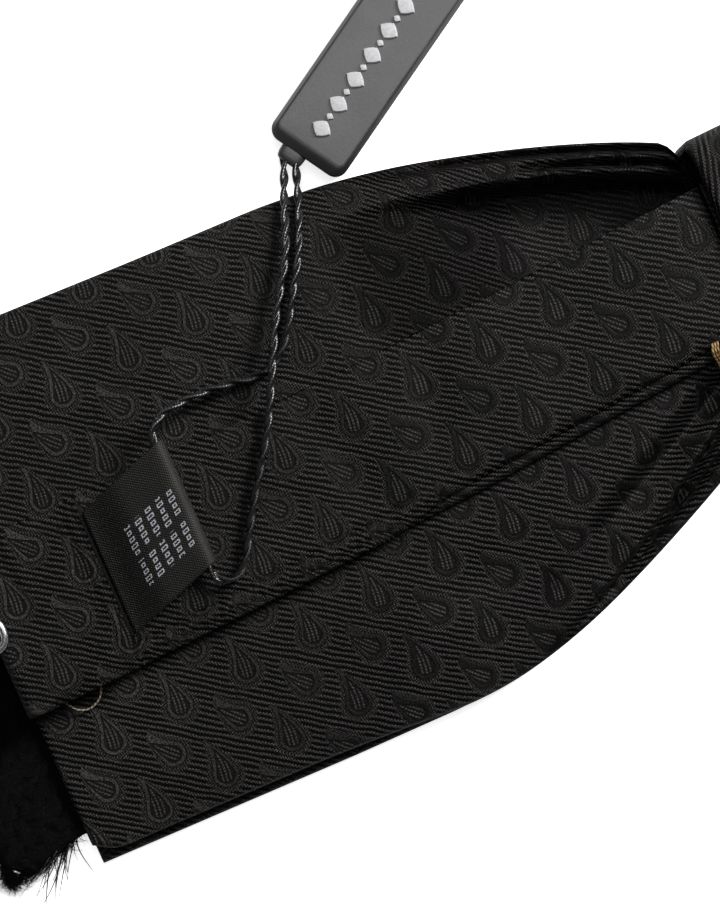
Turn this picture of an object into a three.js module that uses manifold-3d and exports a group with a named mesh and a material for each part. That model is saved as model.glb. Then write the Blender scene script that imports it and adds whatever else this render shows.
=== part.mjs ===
// A pre-tied bow tie lying face down: two silk wings pleated at the waist, a wrapped knot, a neck
// strap with hook, slider and eye, a folded care label, and a seal tag hung from a cord.
// Millimetres. X runs along the bow, Y up its height and Z out of its back. The origin is the
// middle of the knot's flat front, which rests on the table with the wings.
import * as THREE from 'three';
import { mergeVertices } from 'three/addons/utils/BufferGeometryUtils.js';
import Module from 'manifold-3d';

const wasm = await Module();
wasm.setup();

const { lerp, smoothstep, clamp } = THREE.MathUtils;

// clearances
const gap = 0.3;                 // air between pieces that touch
const runClear = 0.6;            // air round a piece that slides or swings

// wings
const bowLength = 230;
const upperReach = 32;           // knot centre to a wing's upper edge
const lowerReach = 35.5;         // knot centre to a wing's lower edge
const waistReach = 14.6;         // half height of the pleated waist
const flareLength = 55;          // from the knot's side to a wing's full height
const silk = 1.2;                // one turned-in panel
const waistSilk = 3.3;           // the same panel pleated into the knot
const wingEndDepth = 4.6;        // both panels and the interlining at the open end
const wingRimDepth = 4.0;        // the same along a wing's long edges
const interliningInset = 1.5;
const interliningStart = 30;
const interliningOverhang = 10;  // brushed raw end past the silk

// knot
const knotWidth = 24;
const knotWall = 1.4;
const knotCorner = 4;
const knotLining = 0.8;
const bindingWidth = 6;
const bindingThread = 0.6;

// neck strap
const strapReach = 115;          // knot centre to the short side's end
const strapWidth = 19.8;         // at the knot
const strapFlare = 3.6;          // extra width at the short side's end
const strapRise = 1.9;           // middle of the strap above the knot's middle
const strapDrop = 5.3;           // how far the short side leans down by its end
const ply = 0.7;
const plyCore = 0.4;
const longPly = 2.0;             // the long side's whole thickness
const foldPly = 0.8;             // the turned-back end of either side
const foldLength = 16;
const barRoom = 2.4;             // hollow at a strap's end for a wire bar
const stitch = 0.5;              // thread diameter

// long side, folded in three
const foldOuter = 108;           // knot centre to its far turn
const foldInner = 25;            // knot centre to its near turn
const thirdRunEnd = 100;
const lowerSpacing = 3.2;        // first to second run, middle to middle
const upperSpacing = 4.6;        // second to third run, with room for the slider's bar

// wire and slider
const wire = 1.0;
const hookSpread = 4.2;          // between the hook's two legs
const hookLength = 6.6;
const hookCurl = 1.9;
const eyeSpread = 6;
const eyeLength = 7;
const sliderLength = 15;
const sliderBar = 2.4;
const sliderPlate = 1.2;
const sliderPlace = 52;          // knot centre to the slider

// label, cord and seal
const label = 0.4;
const labelWidth = 16.6;
const labelBase = -10.6;         // lower end of the label's sewn edge
const labelReach = 13;           // sewn edge to fold
const labelLean = 4.4;           // how far the fold is carried up
const labelTail = 9;
const cord = 1.1;
const sealLength = 36;
const sealWidth = 11.2;
const sealShell = 1.7;
const sealBevel = 0.5;
const sealAngle = THREE.MathUtils.degToRad(31.5);
const sealEnd = new THREE.Vector2(-55.1, 36);   // middle of the end that the cord enters
const lockSize = 3.2;

// ---- sizes that follow ------------------------------------------------------------------
const wingReach = bowLength / 2;
const knotSide = knotWidth / 2;
const liningBase = knotWall + gap;
const bindingBase = liningBase + knotLining + gap;
const waistBase = bindingBase + bindingThread + gap;
const waistTop = waistBase + 2 * waistSilk + gap;
const strapStack = 2 * ply + plyCore + 2 * gap;
const knotStrapBase = waistTop + gap + bindingThread + gap;
const knotDepth = knotStrapBase + strapStack + gap + knotWall;
const knotReach = waistReach + gap + bindingThread + runClear + knotWall;
const strapStart = knotSide + 0.7;
const strapEndRoom = foldPly + barRoom;

// ---- the cloth's surfaces ----------------------------------------------------------------
// A wing's edge leaves the waist on a quarter sine and then runs level.
function wingEdge(x, reach) {
  const along = clamp((Math.abs(x) - knotSide) / flareLength, 0, 1);
  return waistReach + (reach - waistReach) * Math.sin(along * Math.PI / 2);
}

// Height of the wing's back along its middle: half a cosine from the waist to the open end.
function wingBack(x) {
  const along = clamp((Math.abs(x) - knotSide) / (wingReach - knotSide), 0, 1);
  return wingEndDepth + (waistTop - wingEndDepth) * (1 + Math.cos(along * Math.PI)) / 2;
}

function wingRim(x) {
  return lerp(waistTop, wingRimDepth, smoothstep(Math.abs(x), knotSide, knotSide + 28));
}

function wingFront(x) {
  return lerp(waistBase, 0, smoothstep(Math.abs(x), knotSide + 1, knotSide + 24));
}

function silkDepth(x) {
  return lerp(waistSilk, silk, smoothstep(Math.abs(x), knotSide, knotSide + 34));
}

// The back sinks to its rim towards both long edges, by the fourth power of the way out.
function wingBackAt(x, across) {
  const out = Math.abs(2 * across - 1);
  return lerp(wingBack(x), wingRim(x), out ** 4);
}

function strapBase(x) {
  const lift = 1 - smoothstep(Math.abs(x), strapStart, strapStart + 28);
  return wingBack(x) + gap + (knotStrapBase - waistTop - gap) * lift;
}

function strapMiddle(x) {
  const along = clamp((Math.abs(x) - knotSide) / (strapReach - knotSide), 0, 1);
  return strapRise - strapDrop * Math.sin(along * Math.PI / 2);
}

function strapHalf(x) {
  const along = clamp((Math.abs(x) - knotSide) / (strapReach - knotSide), 0, 1);
  return (strapWidth + strapFlare * along) / 2;
}

// ---- makers ------------------------------------------------------------------------------
function fabric(color, roughness = 0.8) {
  return new THREE.MeshStandardMaterial({ color, roughness, metalness: 0 });
}
const silkMaterial = fabric(0x232121, 0.6);
const wool = fabric(0x0a0a0a, 1);
const thread = fabric(0x1b1a1a, 0.7);
const gold = fabric(0x8a6a2c, 0.5);
const satin = fabric(0x141312, 0.45);
const waxed = fabric(0x161616, 0.4);
const plastic = new THREE.MeshStandardMaterial({ color: 0x3c3c3c, roughness: 0.4, metalness: 0 });
const steel = new THREE.MeshStandardMaterial({ color: 0xc8c8cc, roughness: 0.25, metalness: 1 });

const bowTie = new THREE.Group();

function add(name, geometry, material, group = bowTie) {
  const mesh = new THREE.Mesh(geometry, material);
  mesh.name = name;
  group.add(mesh);
  return mesh;
}

function welded(geometry) {
  geometry.deleteAttribute('normal');
  geometry.deleteAttribute('uv');
  const merged = mergeVertices(geometry, 1e-4);
  merged.computeVertexNormals();
  return merged;
}

// A box whose corners and cuts are carried to place(i, v, w): station i, then 0-1 across and through.
function warpedBox(steps, acrossSteps, place) {
  const box = new THREE.BoxGeometry(1, 1, 1, steps, acrossSteps, 1);
  const points = box.attributes.position;
  for (let i = 0; i < points.count; i += 1) {
    const station = Math.round((points.getX(i) + 0.5) * steps);
    const moved = place(station, points.getY(i) + 0.5, points.getZ(i) + 0.5);
    points.setXYZ(i, ...moved);
  }
  return welded(box);
}

// Stations along X between two places, closer together at the first.
function stations(from, to, steps) {
  return Array.from({ length: steps + 1 }, (_, i) => lerp(from, to, (i / steps) ** 1.4));
}

function panel(xs, acrossSteps, inset, base, top) {
  return warpedBox(xs.length - 1, acrossSteps, (i, v, w) => {
    const x = xs[i];
    const y = lerp(inset - wingEdge(x, lowerReach), wingEdge(x, upperReach) - inset, v);
    return [x, y, lerp(base(x, v), top(x, v), w)];
  });
}

// A band of even thickness along points [x, z], lying between two Y edges given at each point.
function ribbon(points, edges, thickness, acrossSteps = 2) {
  return warpedBox(points.length - 1, acrossSteps, (i, v, w) => {
    const before = points[Math.max(i - 1, 0)];
    const after = points[Math.min(i + 1, points.length - 1)];
    const run = new THREE.Vector2(after[0] - before[0], after[1] - before[1]).normalize();
    const out = (w - 0.5) * thickness;
    const [low, high] = edges(points[i][0], i);
    return [points[i][0] - run.y * out, lerp(low, high, v), points[i][1] + run.x * out];
  });
}

function arc(x, z, radius, from, to, steps) {
  return Array.from({ length: steps + 1 }, (_, i) => {
    const angle = lerp(from, to, i / steps) * Math.PI / 180;
    return [x + radius * Math.cos(angle), z + radius * Math.sin(angle)];
  });
}

function roundSection(diameter, sides) {
  const corners = Array.from({ length: sides }, (_, i) => {
    const angle = (i / sides) * 2 * Math.PI;
    return new THREE.Vector2(Math.cos(angle), Math.sin(angle)).multiplyScalar(diameter / 2);
  });
  return new THREE.Shape(corners);
}

function tube(points, diameter, steps, sides = 8) {
  const path = new THREE.CatmullRomCurve3(points.map((p) => new THREE.Vector3(...p)), false, 'centripetal');
  return welded(new THREE.ExtrudeGeometry(roundSection(diameter, sides), {
    steps, extrudePath: path, bevelEnabled: false,
  }));
}

function roundedRect(halfWide, low, high, radius) {
  const shape = new THREE.Shape();
  shape.moveTo(-halfWide + radius, low);
  shape.lineTo(halfWide - radius, low);
  shape.absarc(halfWide - radius, low + radius, radius, -Math.PI / 2, 0);
  shape.absarc(halfWide - radius, high - radius, radius, 0, Math.PI / 2);
  shape.absarc(-halfWide + radius, high - radius, radius, Math.PI / 2, Math.PI);
  shape.absarc(-halfWide + radius, low + radius, radius, Math.PI, Math.PI * 1.5);
  return shape;
}

// A ring round the X axis: outline minus hole, both drawn in Y and Z, with the given width in X.
function ringAlongX(outline, hole, width) {
  outline.holes.push(hole);
  const ring = new THREE.ExtrudeGeometry(outline, { depth: width, bevelEnabled: false, curveSegments: 5 });
  ring.translate(0, 0, -width / 2);
  ring.applyMatrix4(new THREE.Matrix4().makeBasis(
    new THREE.Vector3(0, 1, 0), new THREE.Vector3(0, 0, 1), new THREE.Vector3(1, 0, 0),
  ));
  return welded(ring);
}

function solidOf(geometry) {
  const merged = welded(geometry);
  return new wasm.Manifold(new wasm.Mesh({
    numProp: 3,
    vertProperties: new Float32Array(merged.attributes.position.array),
    triVerts: new Uint32Array(merged.index.array),
  }));
}

function geometryOf(solid) {
  const mesh = solid.getMesh();
  const geometry = new THREE.BufferGeometry();
  geometry.setAttribute('position', new THREE.BufferAttribute(mesh.vertProperties, 3));
  geometry.setIndex(new THREE.BufferAttribute(mesh.triVerts, 1));
  geometry.computeVertexNormals();
  return geometry;
}

function block(x, y, z, wide, deep, high) {
  const box = new THREE.BoxGeometry(wide, deep, high);
  box.translate(x, y, z);
  return solidOf(box);
}

// ---- wings -------------------------------------------------------------------------------
const outward = stations(knotSide, wingReach, 11);
const bowStations = [...outward.map((x) => -x).reverse(), ...outward];
const frontTop = (x) => wingFront(x) + silkDepth(x);
const backBase = (x, v) => wingBackAt(x, v) - silkDepth(x);

add('wing_front_panel', panel(bowStations, 6, 0, wingFront, frontTop), silkMaterial);
add('wing_back_panel', panel(bowStations, 8, 0, backBase, wingBackAt), silkMaterial);

const fringeEnd = wingReach + interliningOverhang;
const fillStations = stations(interliningStart, fringeEnd, 10);
const fillBase = (x) => frontTop(x) + gap;
const fillTop = (x, v) => backBase(x, v) - gap;
add('left_interlining', panel(fillStations.map((x) => -x).reverse(), 8, interliningInset, fillBase, fillTop), wool);
add('right_interlining', panel(fillStations, 8, interliningInset, fillBase, fillTop), wool);

// ---- knot --------------------------------------------------------------------------------
add('knot_wrap', ringAlongX(
  roundedRect(knotReach, 0, knotDepth, knotCorner),
  roundedRect(knotReach - knotWall, knotWall, knotDepth - knotWall, knotCorner - knotWall),
  knotWidth,
), silkMaterial);

const liningGeometry = new THREE.BoxGeometry(knotWidth - 2, 2 * (knotReach - knotCorner), knotLining);
liningGeometry.translate(0, 0, liningBase + knotLining / 2);
add('knot_lining', liningGeometry, wool);

const bindingReach = waistReach + gap + bindingThread;
add('waist_binding', ringAlongX(
  roundedRect(bindingReach, bindingBase, waistTop + gap + bindingThread, bindingThread),
  roundedRect(bindingReach - bindingThread, waistBase - gap, waistTop + gap, 0.1),
  bindingWidth,
), thread);

const seamReach = knotReach - knotCorner;
add('knot_seam_stitch', tube([
  [0, -seamReach, knotDepth + gap + stitch / 2],
  [0.4, 0, knotDepth + gap + stitch / 2],
  [0, seamReach, knotDepth + gap + stitch / 2],
], stitch, 6), thread);

const tackHeight = wingBack(knotSide + 6) + 2 * gap;
add('strap_tack', tube([
  [-knotSide - 6.2, strapMiddle(knotSide) - strapWidth / 2 - 0.6, tackHeight],
  [-knotSide - 6.4, strapMiddle(knotSide) - strapWidth / 2 - 2.6, tackHeight],
], stitch, 2), gold);

// ---- neck strap, short side --------------------------------------------------------------
const shortXs = stations(-strapStart, -(strapReach - strapEndRoom), 12).reverse();
const shortEdges = (x) => [strapMiddle(x) - strapHalf(x), strapMiddle(x) + strapHalf(x)];

function strapLayer(xs, rise, thickness, inset) {
  return ribbon(xs.map((x) => [x, strapBase(x) + rise + thickness / 2]), (x) => {
    const [low, high] = shortEdges(x);
    return [low + inset, high - inset];
  }, thickness);
}

add('short_under_ply', strapLayer(shortXs, 0, ply, 0), silkMaterial);
add('short_strap_interlining', strapLayer(shortXs, ply + gap, plyCore, 1.5), wool);
add('short_top_ply', strapLayer(shortXs, ply + plyCore + 2 * gap, ply, 0.6), silkMaterial);

// The strap inside the knot, joining both sides.
const centreStrap = new THREE.BoxGeometry(2 * (strapStart - gap), strapWidth, strapStack);
centreStrap.translate(0, strapRise, knotStrapBase + strapStack / 2);
add('strap_centre', centreStrap, silkMaterial);

// The end fold stands up round the strap's end and lies back over it, above the label's tail.
const shortEndBase = strapBase(strapReach);
const foldRise = strapStack + gap + label + gap + foldPly / 2;
const foldX = -(strapReach - foldPly / 2);
const bend = 1;
const shortFoldTop = strapBase(strapReach) + foldRise;
const shortFoldPath = [
  [foldX, shortEndBase],
  ...arc(foldX + bend, shortFoldTop - bend, bend, 180, 90, 3),
  [-(strapReach - foldLength / 2), strapBase(strapReach - foldLength / 2) + foldRise],
  [-(strapReach - foldLength), strapBase(strapReach - foldLength) + foldRise],
];
const hookY = strapMiddle(strapReach);
const hookBarX = -(strapReach - foldPly - barRoom / 2);
const barZ = (shortEndBase + shortFoldTop - foldPly / 2) / 2;
const slotHeight = shortFoldTop - shortEndBase - foldPly - 2 * gap;

// Two slots let a wire's legs out through the end fold.
function slotted(fold, x, y, z, spread, height) {
  const legSlot = (side) => block(x, y + side * spread / 2, z, 2 * foldPly, wire + 2 * runClear, height);
  return geometryOf(solidOf(fold).subtract(legSlot(-1)).subtract(legSlot(1)));
}
add('short_end_fold', slotted(
  ribbon(shortFoldPath, (x) => shortEdges(x), foldPly), foldX, hookY, barZ, hookSpread, slotHeight,
), silkMaterial);

const foldTopAt = (inset) => strapBase(strapReach - inset) + foldRise + foldPly / 2;
const seamX = -(strapReach - foldLength + 1.5);
add('short_fold_stitch', tube([
  [seamX, strapMiddle(seamX) - strapHalf(seamX) + 1, foldTopAt(foldLength - 1.5) + gap + stitch / 2],
  [seamX, strapMiddle(seamX) + strapHalf(seamX) - 1, foldTopAt(foldLength - 1.5) + gap + stitch / 2],
], stitch, 4), thread);

// The hook: one wire, its ends meeting on the bar, curled over the strap's end.
const hookTip = -(barRoom / 2 + foldPly + hookLength - hookCurl);
const hookNose = hookBarX - 0.2;
const hookTop = barZ + 2 * hookCurl;
const halfHook = hookSpread / 2;
const hookSide = [
  [hookBarX, gap / 2, barZ],
  [hookBarX, halfHook - 0.7, barZ],
  [hookBarX - 0.7, halfHook, barZ],
  [hookBarX + hookTip, halfHook, barZ],
  [hookBarX + hookTip - hookCurl, halfHook, barZ + hookCurl],
  [hookBarX + hookTip, halfHook, hookTop],
  [hookNose - halfHook, halfHook, hookTop],
  [hookNose - 0.6, halfHook * 0.7, hookTop],
];
const hookRoute = [
  ...hookSide,
  [hookNose, 0, hookTop],
  ...hookSide.map(([x, y, z]) => [x, -y, z]).reverse(),
].map(([x, y, z]) => [x, y + hookY, z]);
add('hook', tube(hookRoute, wire, 56), steel);

const threadX = -(strapReach - 7);
const threadY = strapMiddle(threadX) - strapHalf(threadX) - gap;
const threadZ = strapBase(threadX) + 2 * gap;
add('loose_thread', tube([
  [threadX - 2.3, threadY - 0.1, threadZ],
  [threadX - 1.2, threadY - 1.1, threadZ],
  [threadX + 0.6, threadY - 1.3, threadZ],
  [threadX + 2.3, threadY - 0.1, threadZ],
], gap, 10), gold);

// ---- neck strap, long side, folded in three ----------------------------------------------
const longEdges = () => [strapRise - strapWidth / 2, strapRise + strapWidth / 2];
const firstRun = (x) => strapBase(x) + longPly / 2;
const runSlope = (firstRun(foldOuter) - firstRun(foldInner)) / (foldOuter - foldInner);
const secondRun = (x) => firstRun(foldOuter) + lowerSpacing + runSlope * (x - foldOuter);
const thirdRun = (x) => secondRun(x) + upperSpacing;

function run(height, from, to, steps) {
  return Array.from({ length: steps + 1 }, (_, i) => {
    const x = lerp(from, to, i / steps);
    return [x, height(x)];
  });
}
const farTurn = arc(foldOuter, firstRun(foldOuter) + lowerSpacing / 2, lowerSpacing / 2, -90, 90, 6);
const nearTurn = arc(foldInner, secondRun(foldInner) + upperSpacing / 2, upperSpacing / 2, 270, 90, 6);
const thirdTo = thirdRunEnd - strapEndRoom;
add('long_strap', ribbon([
  ...run(firstRun, strapStart, foldOuter - 3, 8),
  ...farTurn,
  ...run(secondRun, foldOuter - 3, foldInner + 3, 7),
  ...nearTurn,
  ...run(thirdRun, foldInner + 3, thirdTo, 7),
], longEdges, longPly), silkMaterial);

const longTop = (x) => thirdRun(x) + longPly / 2;
const longFoldRise = gap + foldPly / 2;
const longFoldX = thirdRunEnd - foldPly / 2;
const longFoldTop = longTop(thirdRunEnd) + longFoldRise;
const longEndBase = thirdRun(thirdRunEnd) - longPly / 2;
const longFoldPath = [
  [thirdRunEnd - foldLength, longTop(thirdRunEnd - foldLength) + longFoldRise],
  [thirdRunEnd - foldLength / 2, longTop(thirdRunEnd - foldLength / 2) + longFoldRise],
  ...arc(longFoldX - bend, longFoldTop - bend, bend, 90, 0, 3),
  [longFoldX, longEndBase],
];
const eyeZ = (longEndBase + longFoldTop - foldPly / 2) / 2;
const eyeSlot = longFoldTop - longEndBase - foldPly / 2;
add('long_end_fold', slotted(
  ribbon(longFoldPath, longEdges, foldPly), longFoldX, strapRise, eyeZ, eyeSpread, eyeSlot,
), silkMaterial);

const longSeamX = thirdRunEnd - foldLength + 1.5;
const longSeamZ = longTop(longSeamX) + longFoldRise + foldPly / 2 + gap + stitch / 2;
add('long_fold_stitch', tube([
  [longSeamX, longEdges()[0] + 1, longSeamZ],
  [longSeamX, longEdges()[1] - 1, longSeamZ],
], stitch, 4), thread);

const eyeBarX = thirdRunEnd - foldPly - barRoom / 2;
const eyeTip = barRoom / 2 + foldPly + eyeLength;
const halfEye = eyeSpread / 2;
const eyeSide = [
  [eyeBarX, gap / 2],
  [eyeBarX, halfEye - 0.7],
  [eyeBarX + 0.7, halfEye],
  [eyeBarX + eyeTip - halfEye, halfEye],
  [eyeBarX + eyeTip - 0.9, halfEye * 0.7],
];
add('eye', tube([
  ...eyeSide,
  [eyeBarX + eyeTip, 0],
  ...eyeSide.map(([x, y]) => [x, -y]).reverse(),
].map(([x, y]) => [x, y + strapRise, eyeZ]), wire, 40), steel);

// The slider: two bars over the third run, one under it, joined by posts beside the band.
const sliderInside = strapWidth + 2 * runClear;
const sliderOutside = sliderInside + 2 * sliderBar;
const sliderLift = longPly / 2 + runClear + sliderPlate / 2;
const postY = (sliderInside + sliderBar) / 2;
let slider = block(0, 0, -sliderLift, sliderBar, sliderOutside, sliderPlate);
for (const side of [-1, 1]) {
  const barX = side * (sliderLength - sliderBar) / 2;
  slider = slider
    .add(block(barX, 0, sliderLift, sliderBar, sliderOutside, sliderPlate))
    .add(block(0, side * postY, sliderLift, sliderLength, sliderBar, sliderPlate))
    .add(block(0, side * postY, 0, sliderBar, sliderBar, 2 * sliderLift + sliderPlate));
}
const sliderSeat = new THREE.Group();
sliderSeat.position.set(sliderPlace, strapRise, thirdRun(sliderPlace));
sliderSeat.rotation.y = -Math.atan(runSlope);
bowTie.add(sliderSeat);
add('slider', geometryOf(slider), steel, sliderSeat);

// ---- care label --------------------------------------------------------------------------
// The tape leaves the end fold, runs under the cord, turns round it and comes back on top.
const labelX = -(strapReach - foldLength - 0.6);
const strapTop = (x) => strapBase(x) + strapStack;
const cordRoom = cord + 2 * gap;
const turn = (cordRoom + label) / 2;
const labelFoldX = labelX + labelReach;
const lowLeaf = (x) => strapTop(x) + gap + label / 2;
const highLeaf = (x) => lowLeaf(x) + lerp(label + gap, 2 * turn, smoothstep(x, labelX, labelX + 6));
const turnX = labelFoldX - turn - label / 2;
const labelPath = [
  ...run(lowLeaf, labelX, turnX, 4),
  ...arc(turnX, lowLeaf(turnX) + turn, turn, -60, 60, 4),
  ...run(highLeaf, turnX, labelX, 4),
];
const labelEdges = (x) => {
  const carried = labelBase + labelLean * (x - labelX) / labelReach;
  return [carried, carried + labelWidth];
};
add('care_label', ribbon(labelPath, labelEdges, label, 1), satin);

const tailXs = [labelX - gap - labelTail, labelX - gap - labelTail / 2, labelX - gap];
add('label_tail', ribbon(
  tailXs.map((x) => [x, strapTop(x) + gap + label / 2]), () => [labelBase, labelBase + labelWidth], label,
), satin);

// ---- hang cord ---------------------------------------------------------------------------
// One waxed cord: from the seal down to the label, up through its fold, and back beside itself.
const cordDown = [
  [-57.3, 37.0, 2.0],
  [-58.5, 34.1, 3.6],
  [-59.7, 31.2, 5.5],
  [-60.8, 28.2, 7.0],
  [-62.3, 24.9, 8.1],
  [-64.4, 21.6, 8.7],
  [-66.6, 18.1, 9.2],
  [-68.6, 14.3, 9.9],
  [-70.3, 11.0, 10.4],
  [-72.7, 6.6, 10.6],
  [-75.5, 2.4, 10.4],
  [-78.2, -1.4, 10.1],
  [-79.9, -4.1, 9.9],
  [-81.5, -6.7, 9.8],
  [-82.9, -8.5, 9.8],
  [-84.6, -9.2, 9.8],
  [-86.1, -8.5, 9.9],
  [-86.6, -6.9, 9.9],
  [-86.6, -4.0, 9.9],
  [-86.6, -1.0, 9.9],
  [-86.6, 1.6, 9.9],
];
const cordBack = [
  [-86.6, 1.9, 9.9],
  [-86.6, 6.0, 9.9],
  [-86.6, 10.2, 9.9],
  [-86.0, 12.0, 9.8],
  [-84.5, 13.0, 9.4],
  [-82.0, 13.5, 8.8],
  [-78.8, 13.6, 8.2],
  [-75.4, 13.3, 7.9],
  [-72.3, 12.8, 7.9],
  [-69.6, 13.0, 8.0],
  [-67.2, 14.7, 8.1],
  [-65.2, 17.3, 8.3],
  [-63.1, 20.7, 8.2],
  [-61.0, 24.0, 7.6],
  [-59.4, 27.3, 6.6],
  [-58.1, 30.4, 5.2],
  [-57.1, 33.2, 3.5],
  [-56.1, 36.1, 2.0],
];
add('hang_cord_a', tube(cordDown, cord, 30), waxed);
add('hang_cord_b', tube(cordBack, cord, 30), waxed);

// ---- seal tag ----------------------------------------------------------------------------
const seal = new THREE.Group();
seal.position.set(sealEnd.x, sealEnd.y, 0);
seal.rotation.z = sealAngle;
bowTie.add(seal);

function shell(base, thickness, inset) {
  const outline = roundedRect(sealLength / 2 - inset, inset - sealWidth / 2, sealWidth / 2 - inset, 1.8 - inset);
  const body = new THREE.ExtrudeGeometry(outline, {
    depth: thickness - 2 * sealBevel, bevelThickness: sealBevel, bevelSize: sealBevel,
    bevelOffset: -sealBevel, bevelSegments: 2, curveSegments: 4,
  });
  body.translate(sealLength / 2, 0, base + sealBevel);
  return solidOf(body);
}
const lockX = 1.2 + lockSize / 2;
const pocketTop = sealShell + gap;
const lockPocket = block(lockX, 0, sealShell, lockSize + 2 * gap, lockSize + 2 * gap, sealShell);
add('seal_bottom', geometryOf(shell(0, sealShell, 0.4).subtract(lockPocket)), plastic, seal);

let top = shell(pocketTop, sealShell, 0);
for (let i = 0; i < 3; i += 1) {
  const lozenge = new THREE.CylinderGeometry(2.2, 2.5, 0.5, 4);
  lozenge.rotateX(Math.PI / 2);
  lozenge.translate(sealLength * (0.28 + 0.22 * i), 0, pocketTop + sealShell + 0.15);
  top = top.add(solidOf(lozenge));
}
add('seal_top', geometryOf(top), plastic, seal);

const lock = new THREE.BoxGeometry(lockSize, lockSize, sealShell / 2 - gap);
lock.translate(lockX, 0, sealShell * 0.75 + gap / 2);
add('cord_lock', lock, plastic, seal);

export default bowTie;
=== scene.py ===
import math

import bpy
import numpy as np
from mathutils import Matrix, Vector


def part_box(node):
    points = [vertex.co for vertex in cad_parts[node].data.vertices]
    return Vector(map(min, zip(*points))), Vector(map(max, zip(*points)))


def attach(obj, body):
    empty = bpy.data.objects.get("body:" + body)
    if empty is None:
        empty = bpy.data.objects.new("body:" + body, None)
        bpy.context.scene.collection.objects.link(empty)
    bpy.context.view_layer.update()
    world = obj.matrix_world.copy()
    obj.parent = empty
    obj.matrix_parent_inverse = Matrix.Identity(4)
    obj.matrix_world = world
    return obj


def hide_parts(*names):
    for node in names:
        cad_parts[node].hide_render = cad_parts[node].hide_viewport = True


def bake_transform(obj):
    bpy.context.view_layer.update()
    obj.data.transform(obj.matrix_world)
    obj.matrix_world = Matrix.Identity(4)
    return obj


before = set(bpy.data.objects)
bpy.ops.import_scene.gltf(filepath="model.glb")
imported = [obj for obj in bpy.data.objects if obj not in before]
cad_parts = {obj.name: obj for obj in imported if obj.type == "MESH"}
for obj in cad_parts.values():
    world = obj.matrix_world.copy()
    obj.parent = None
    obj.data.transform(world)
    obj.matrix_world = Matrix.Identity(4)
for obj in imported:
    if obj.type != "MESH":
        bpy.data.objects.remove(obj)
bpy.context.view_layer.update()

perMetre = 1000.0     # shapes are worked out in millimetres
chance = np.random.default_rng(19)


def ease(value, start, end):
    # 0 before start, 1 after end, and three squares less two cubes between
    t = np.clip((value - start) / (end - start), 0, 1)
    return t * t * (3 - 2 * t)


def blendOf(a, b, share):
    # a plus the share of the way to b
    return a + (b - a) * share


def hump(value, middle, width):
    # a bell that is 1 at its middle and about a third one width away
    return np.exp(-((value - middle) / width) ** 2)


def roundOff(distance, radius, least=0.1):
    # a quarter circle from the edge inwards, as a share of the full thickness
    t = 1 - np.clip(distance / radius, 0, 1)
    return np.maximum(np.sqrt(1 - t * t), least)


def spread(count, crowding=0.6):
    # 0 to 1, closer together at both ends: an even run mixed with half a cosine
    t = np.linspace(0, 1, count)
    return blendOf(t, (1 - np.cos(t * math.pi)) / 2, crowding)


def betweenEdges(low, high, count, crowding=0.6):
    # places across, from the low edge to the high one at each station
    return low[:, None] + (high - low)[:, None] * spread(count, crowding)


def wayAlong(path):
    # the length walked up to each point: the steps' lengths summed
    return np.concatenate([[0], np.cumsum(np.linalg.norm(np.diff(path, axis=0), axis=1))])


def fullTurn(count):
    # even angles round a circle, in radians
    return np.arange(count) * 2 * math.pi / count


def squarer(angle, power):
    # the reach of a circle pulled towards a square: one over the power root of the summed powers
    return 1 / (np.abs(np.cos(angle)) ** power + np.abs(np.sin(angle)) ** power) ** (1 / power)


def roundedRectangle(halfLong, halfWide, corner, each):
    # four quarter circles about a smaller rectangle's corners, each of as many points
    parts = []
    for turn, (sx, sy) in enumerate(((1, 1), (-1, 1), (-1, -1), (1, -1))):
        a = np.linspace(0, math.pi / 2, each) + turn * math.pi / 2
        parts.append(np.stack([sx * halfLong + corner * np.cos(a), sy * halfWide + corner * np.sin(a)], 1))
    return np.concatenate(parts)


def outwardOf(outline):
    # square to the line from each point's neighbour to the other, a quarter turn clockwise
    run = np.roll(outline, -1, 0) - np.roll(outline, 1, 0)
    run /= np.linalg.norm(run, axis=1)[:, None]
    return np.stack([run[:, 1], -run[:, 0]], 1)


def corners(node):
    # a node's lowest and highest corner in millimetres
    low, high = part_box(node)
    return np.array(low) * perMetre, np.array(high) * perMetre


def ripple(x, y, height):
    # three slow waves that cross each other, for cloth that doesn't lie quite flat
    return height * (np.sin(0.19 * x + 0.11 * y) + 0.8 * np.sin(0.09 * x - 0.27 * y + 1.3)
                     + 0.5 * np.sin(0.37 * x + 0.31 * y + 0.4)) / 2.3


def putMesh(name, points, faces, uvs, sharp=50):
    # faces: one row of corners each; a shell whose volume comes out negative is turned round
    corner = points[faces]
    volume = np.einsum("ij,ij->i", corner[:, 0], np.cross(corner[:, 1], corner[:, 2])).sum()
    volume += np.einsum("ij,ij->i", corner[:, 0], np.cross(corner[:, 2], corner[:, 3])).sum()
    if volume < 0:
        faces, uvs = faces[:, ::-1], uvs[:, ::-1]
    mesh = bpy.data.meshes.new(name)
    mesh.from_pydata((points / perMetre).tolist(), [], faces.tolist())
    cloth = mesh.uv_layers.new(name="cloth")
    cloth.data.foreach_set("uv", np.ascontiguousarray(uvs, dtype=np.float32).ravel())
    mesh.shade_smooth()
    mesh.set_sharp_from_angle(angle=math.radians(sharp))
    mesh.update()
    piece = bpy.data.objects.new(name, mesh)
    bpy.context.scene.collection.objects.link(piece)
    return piece


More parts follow.
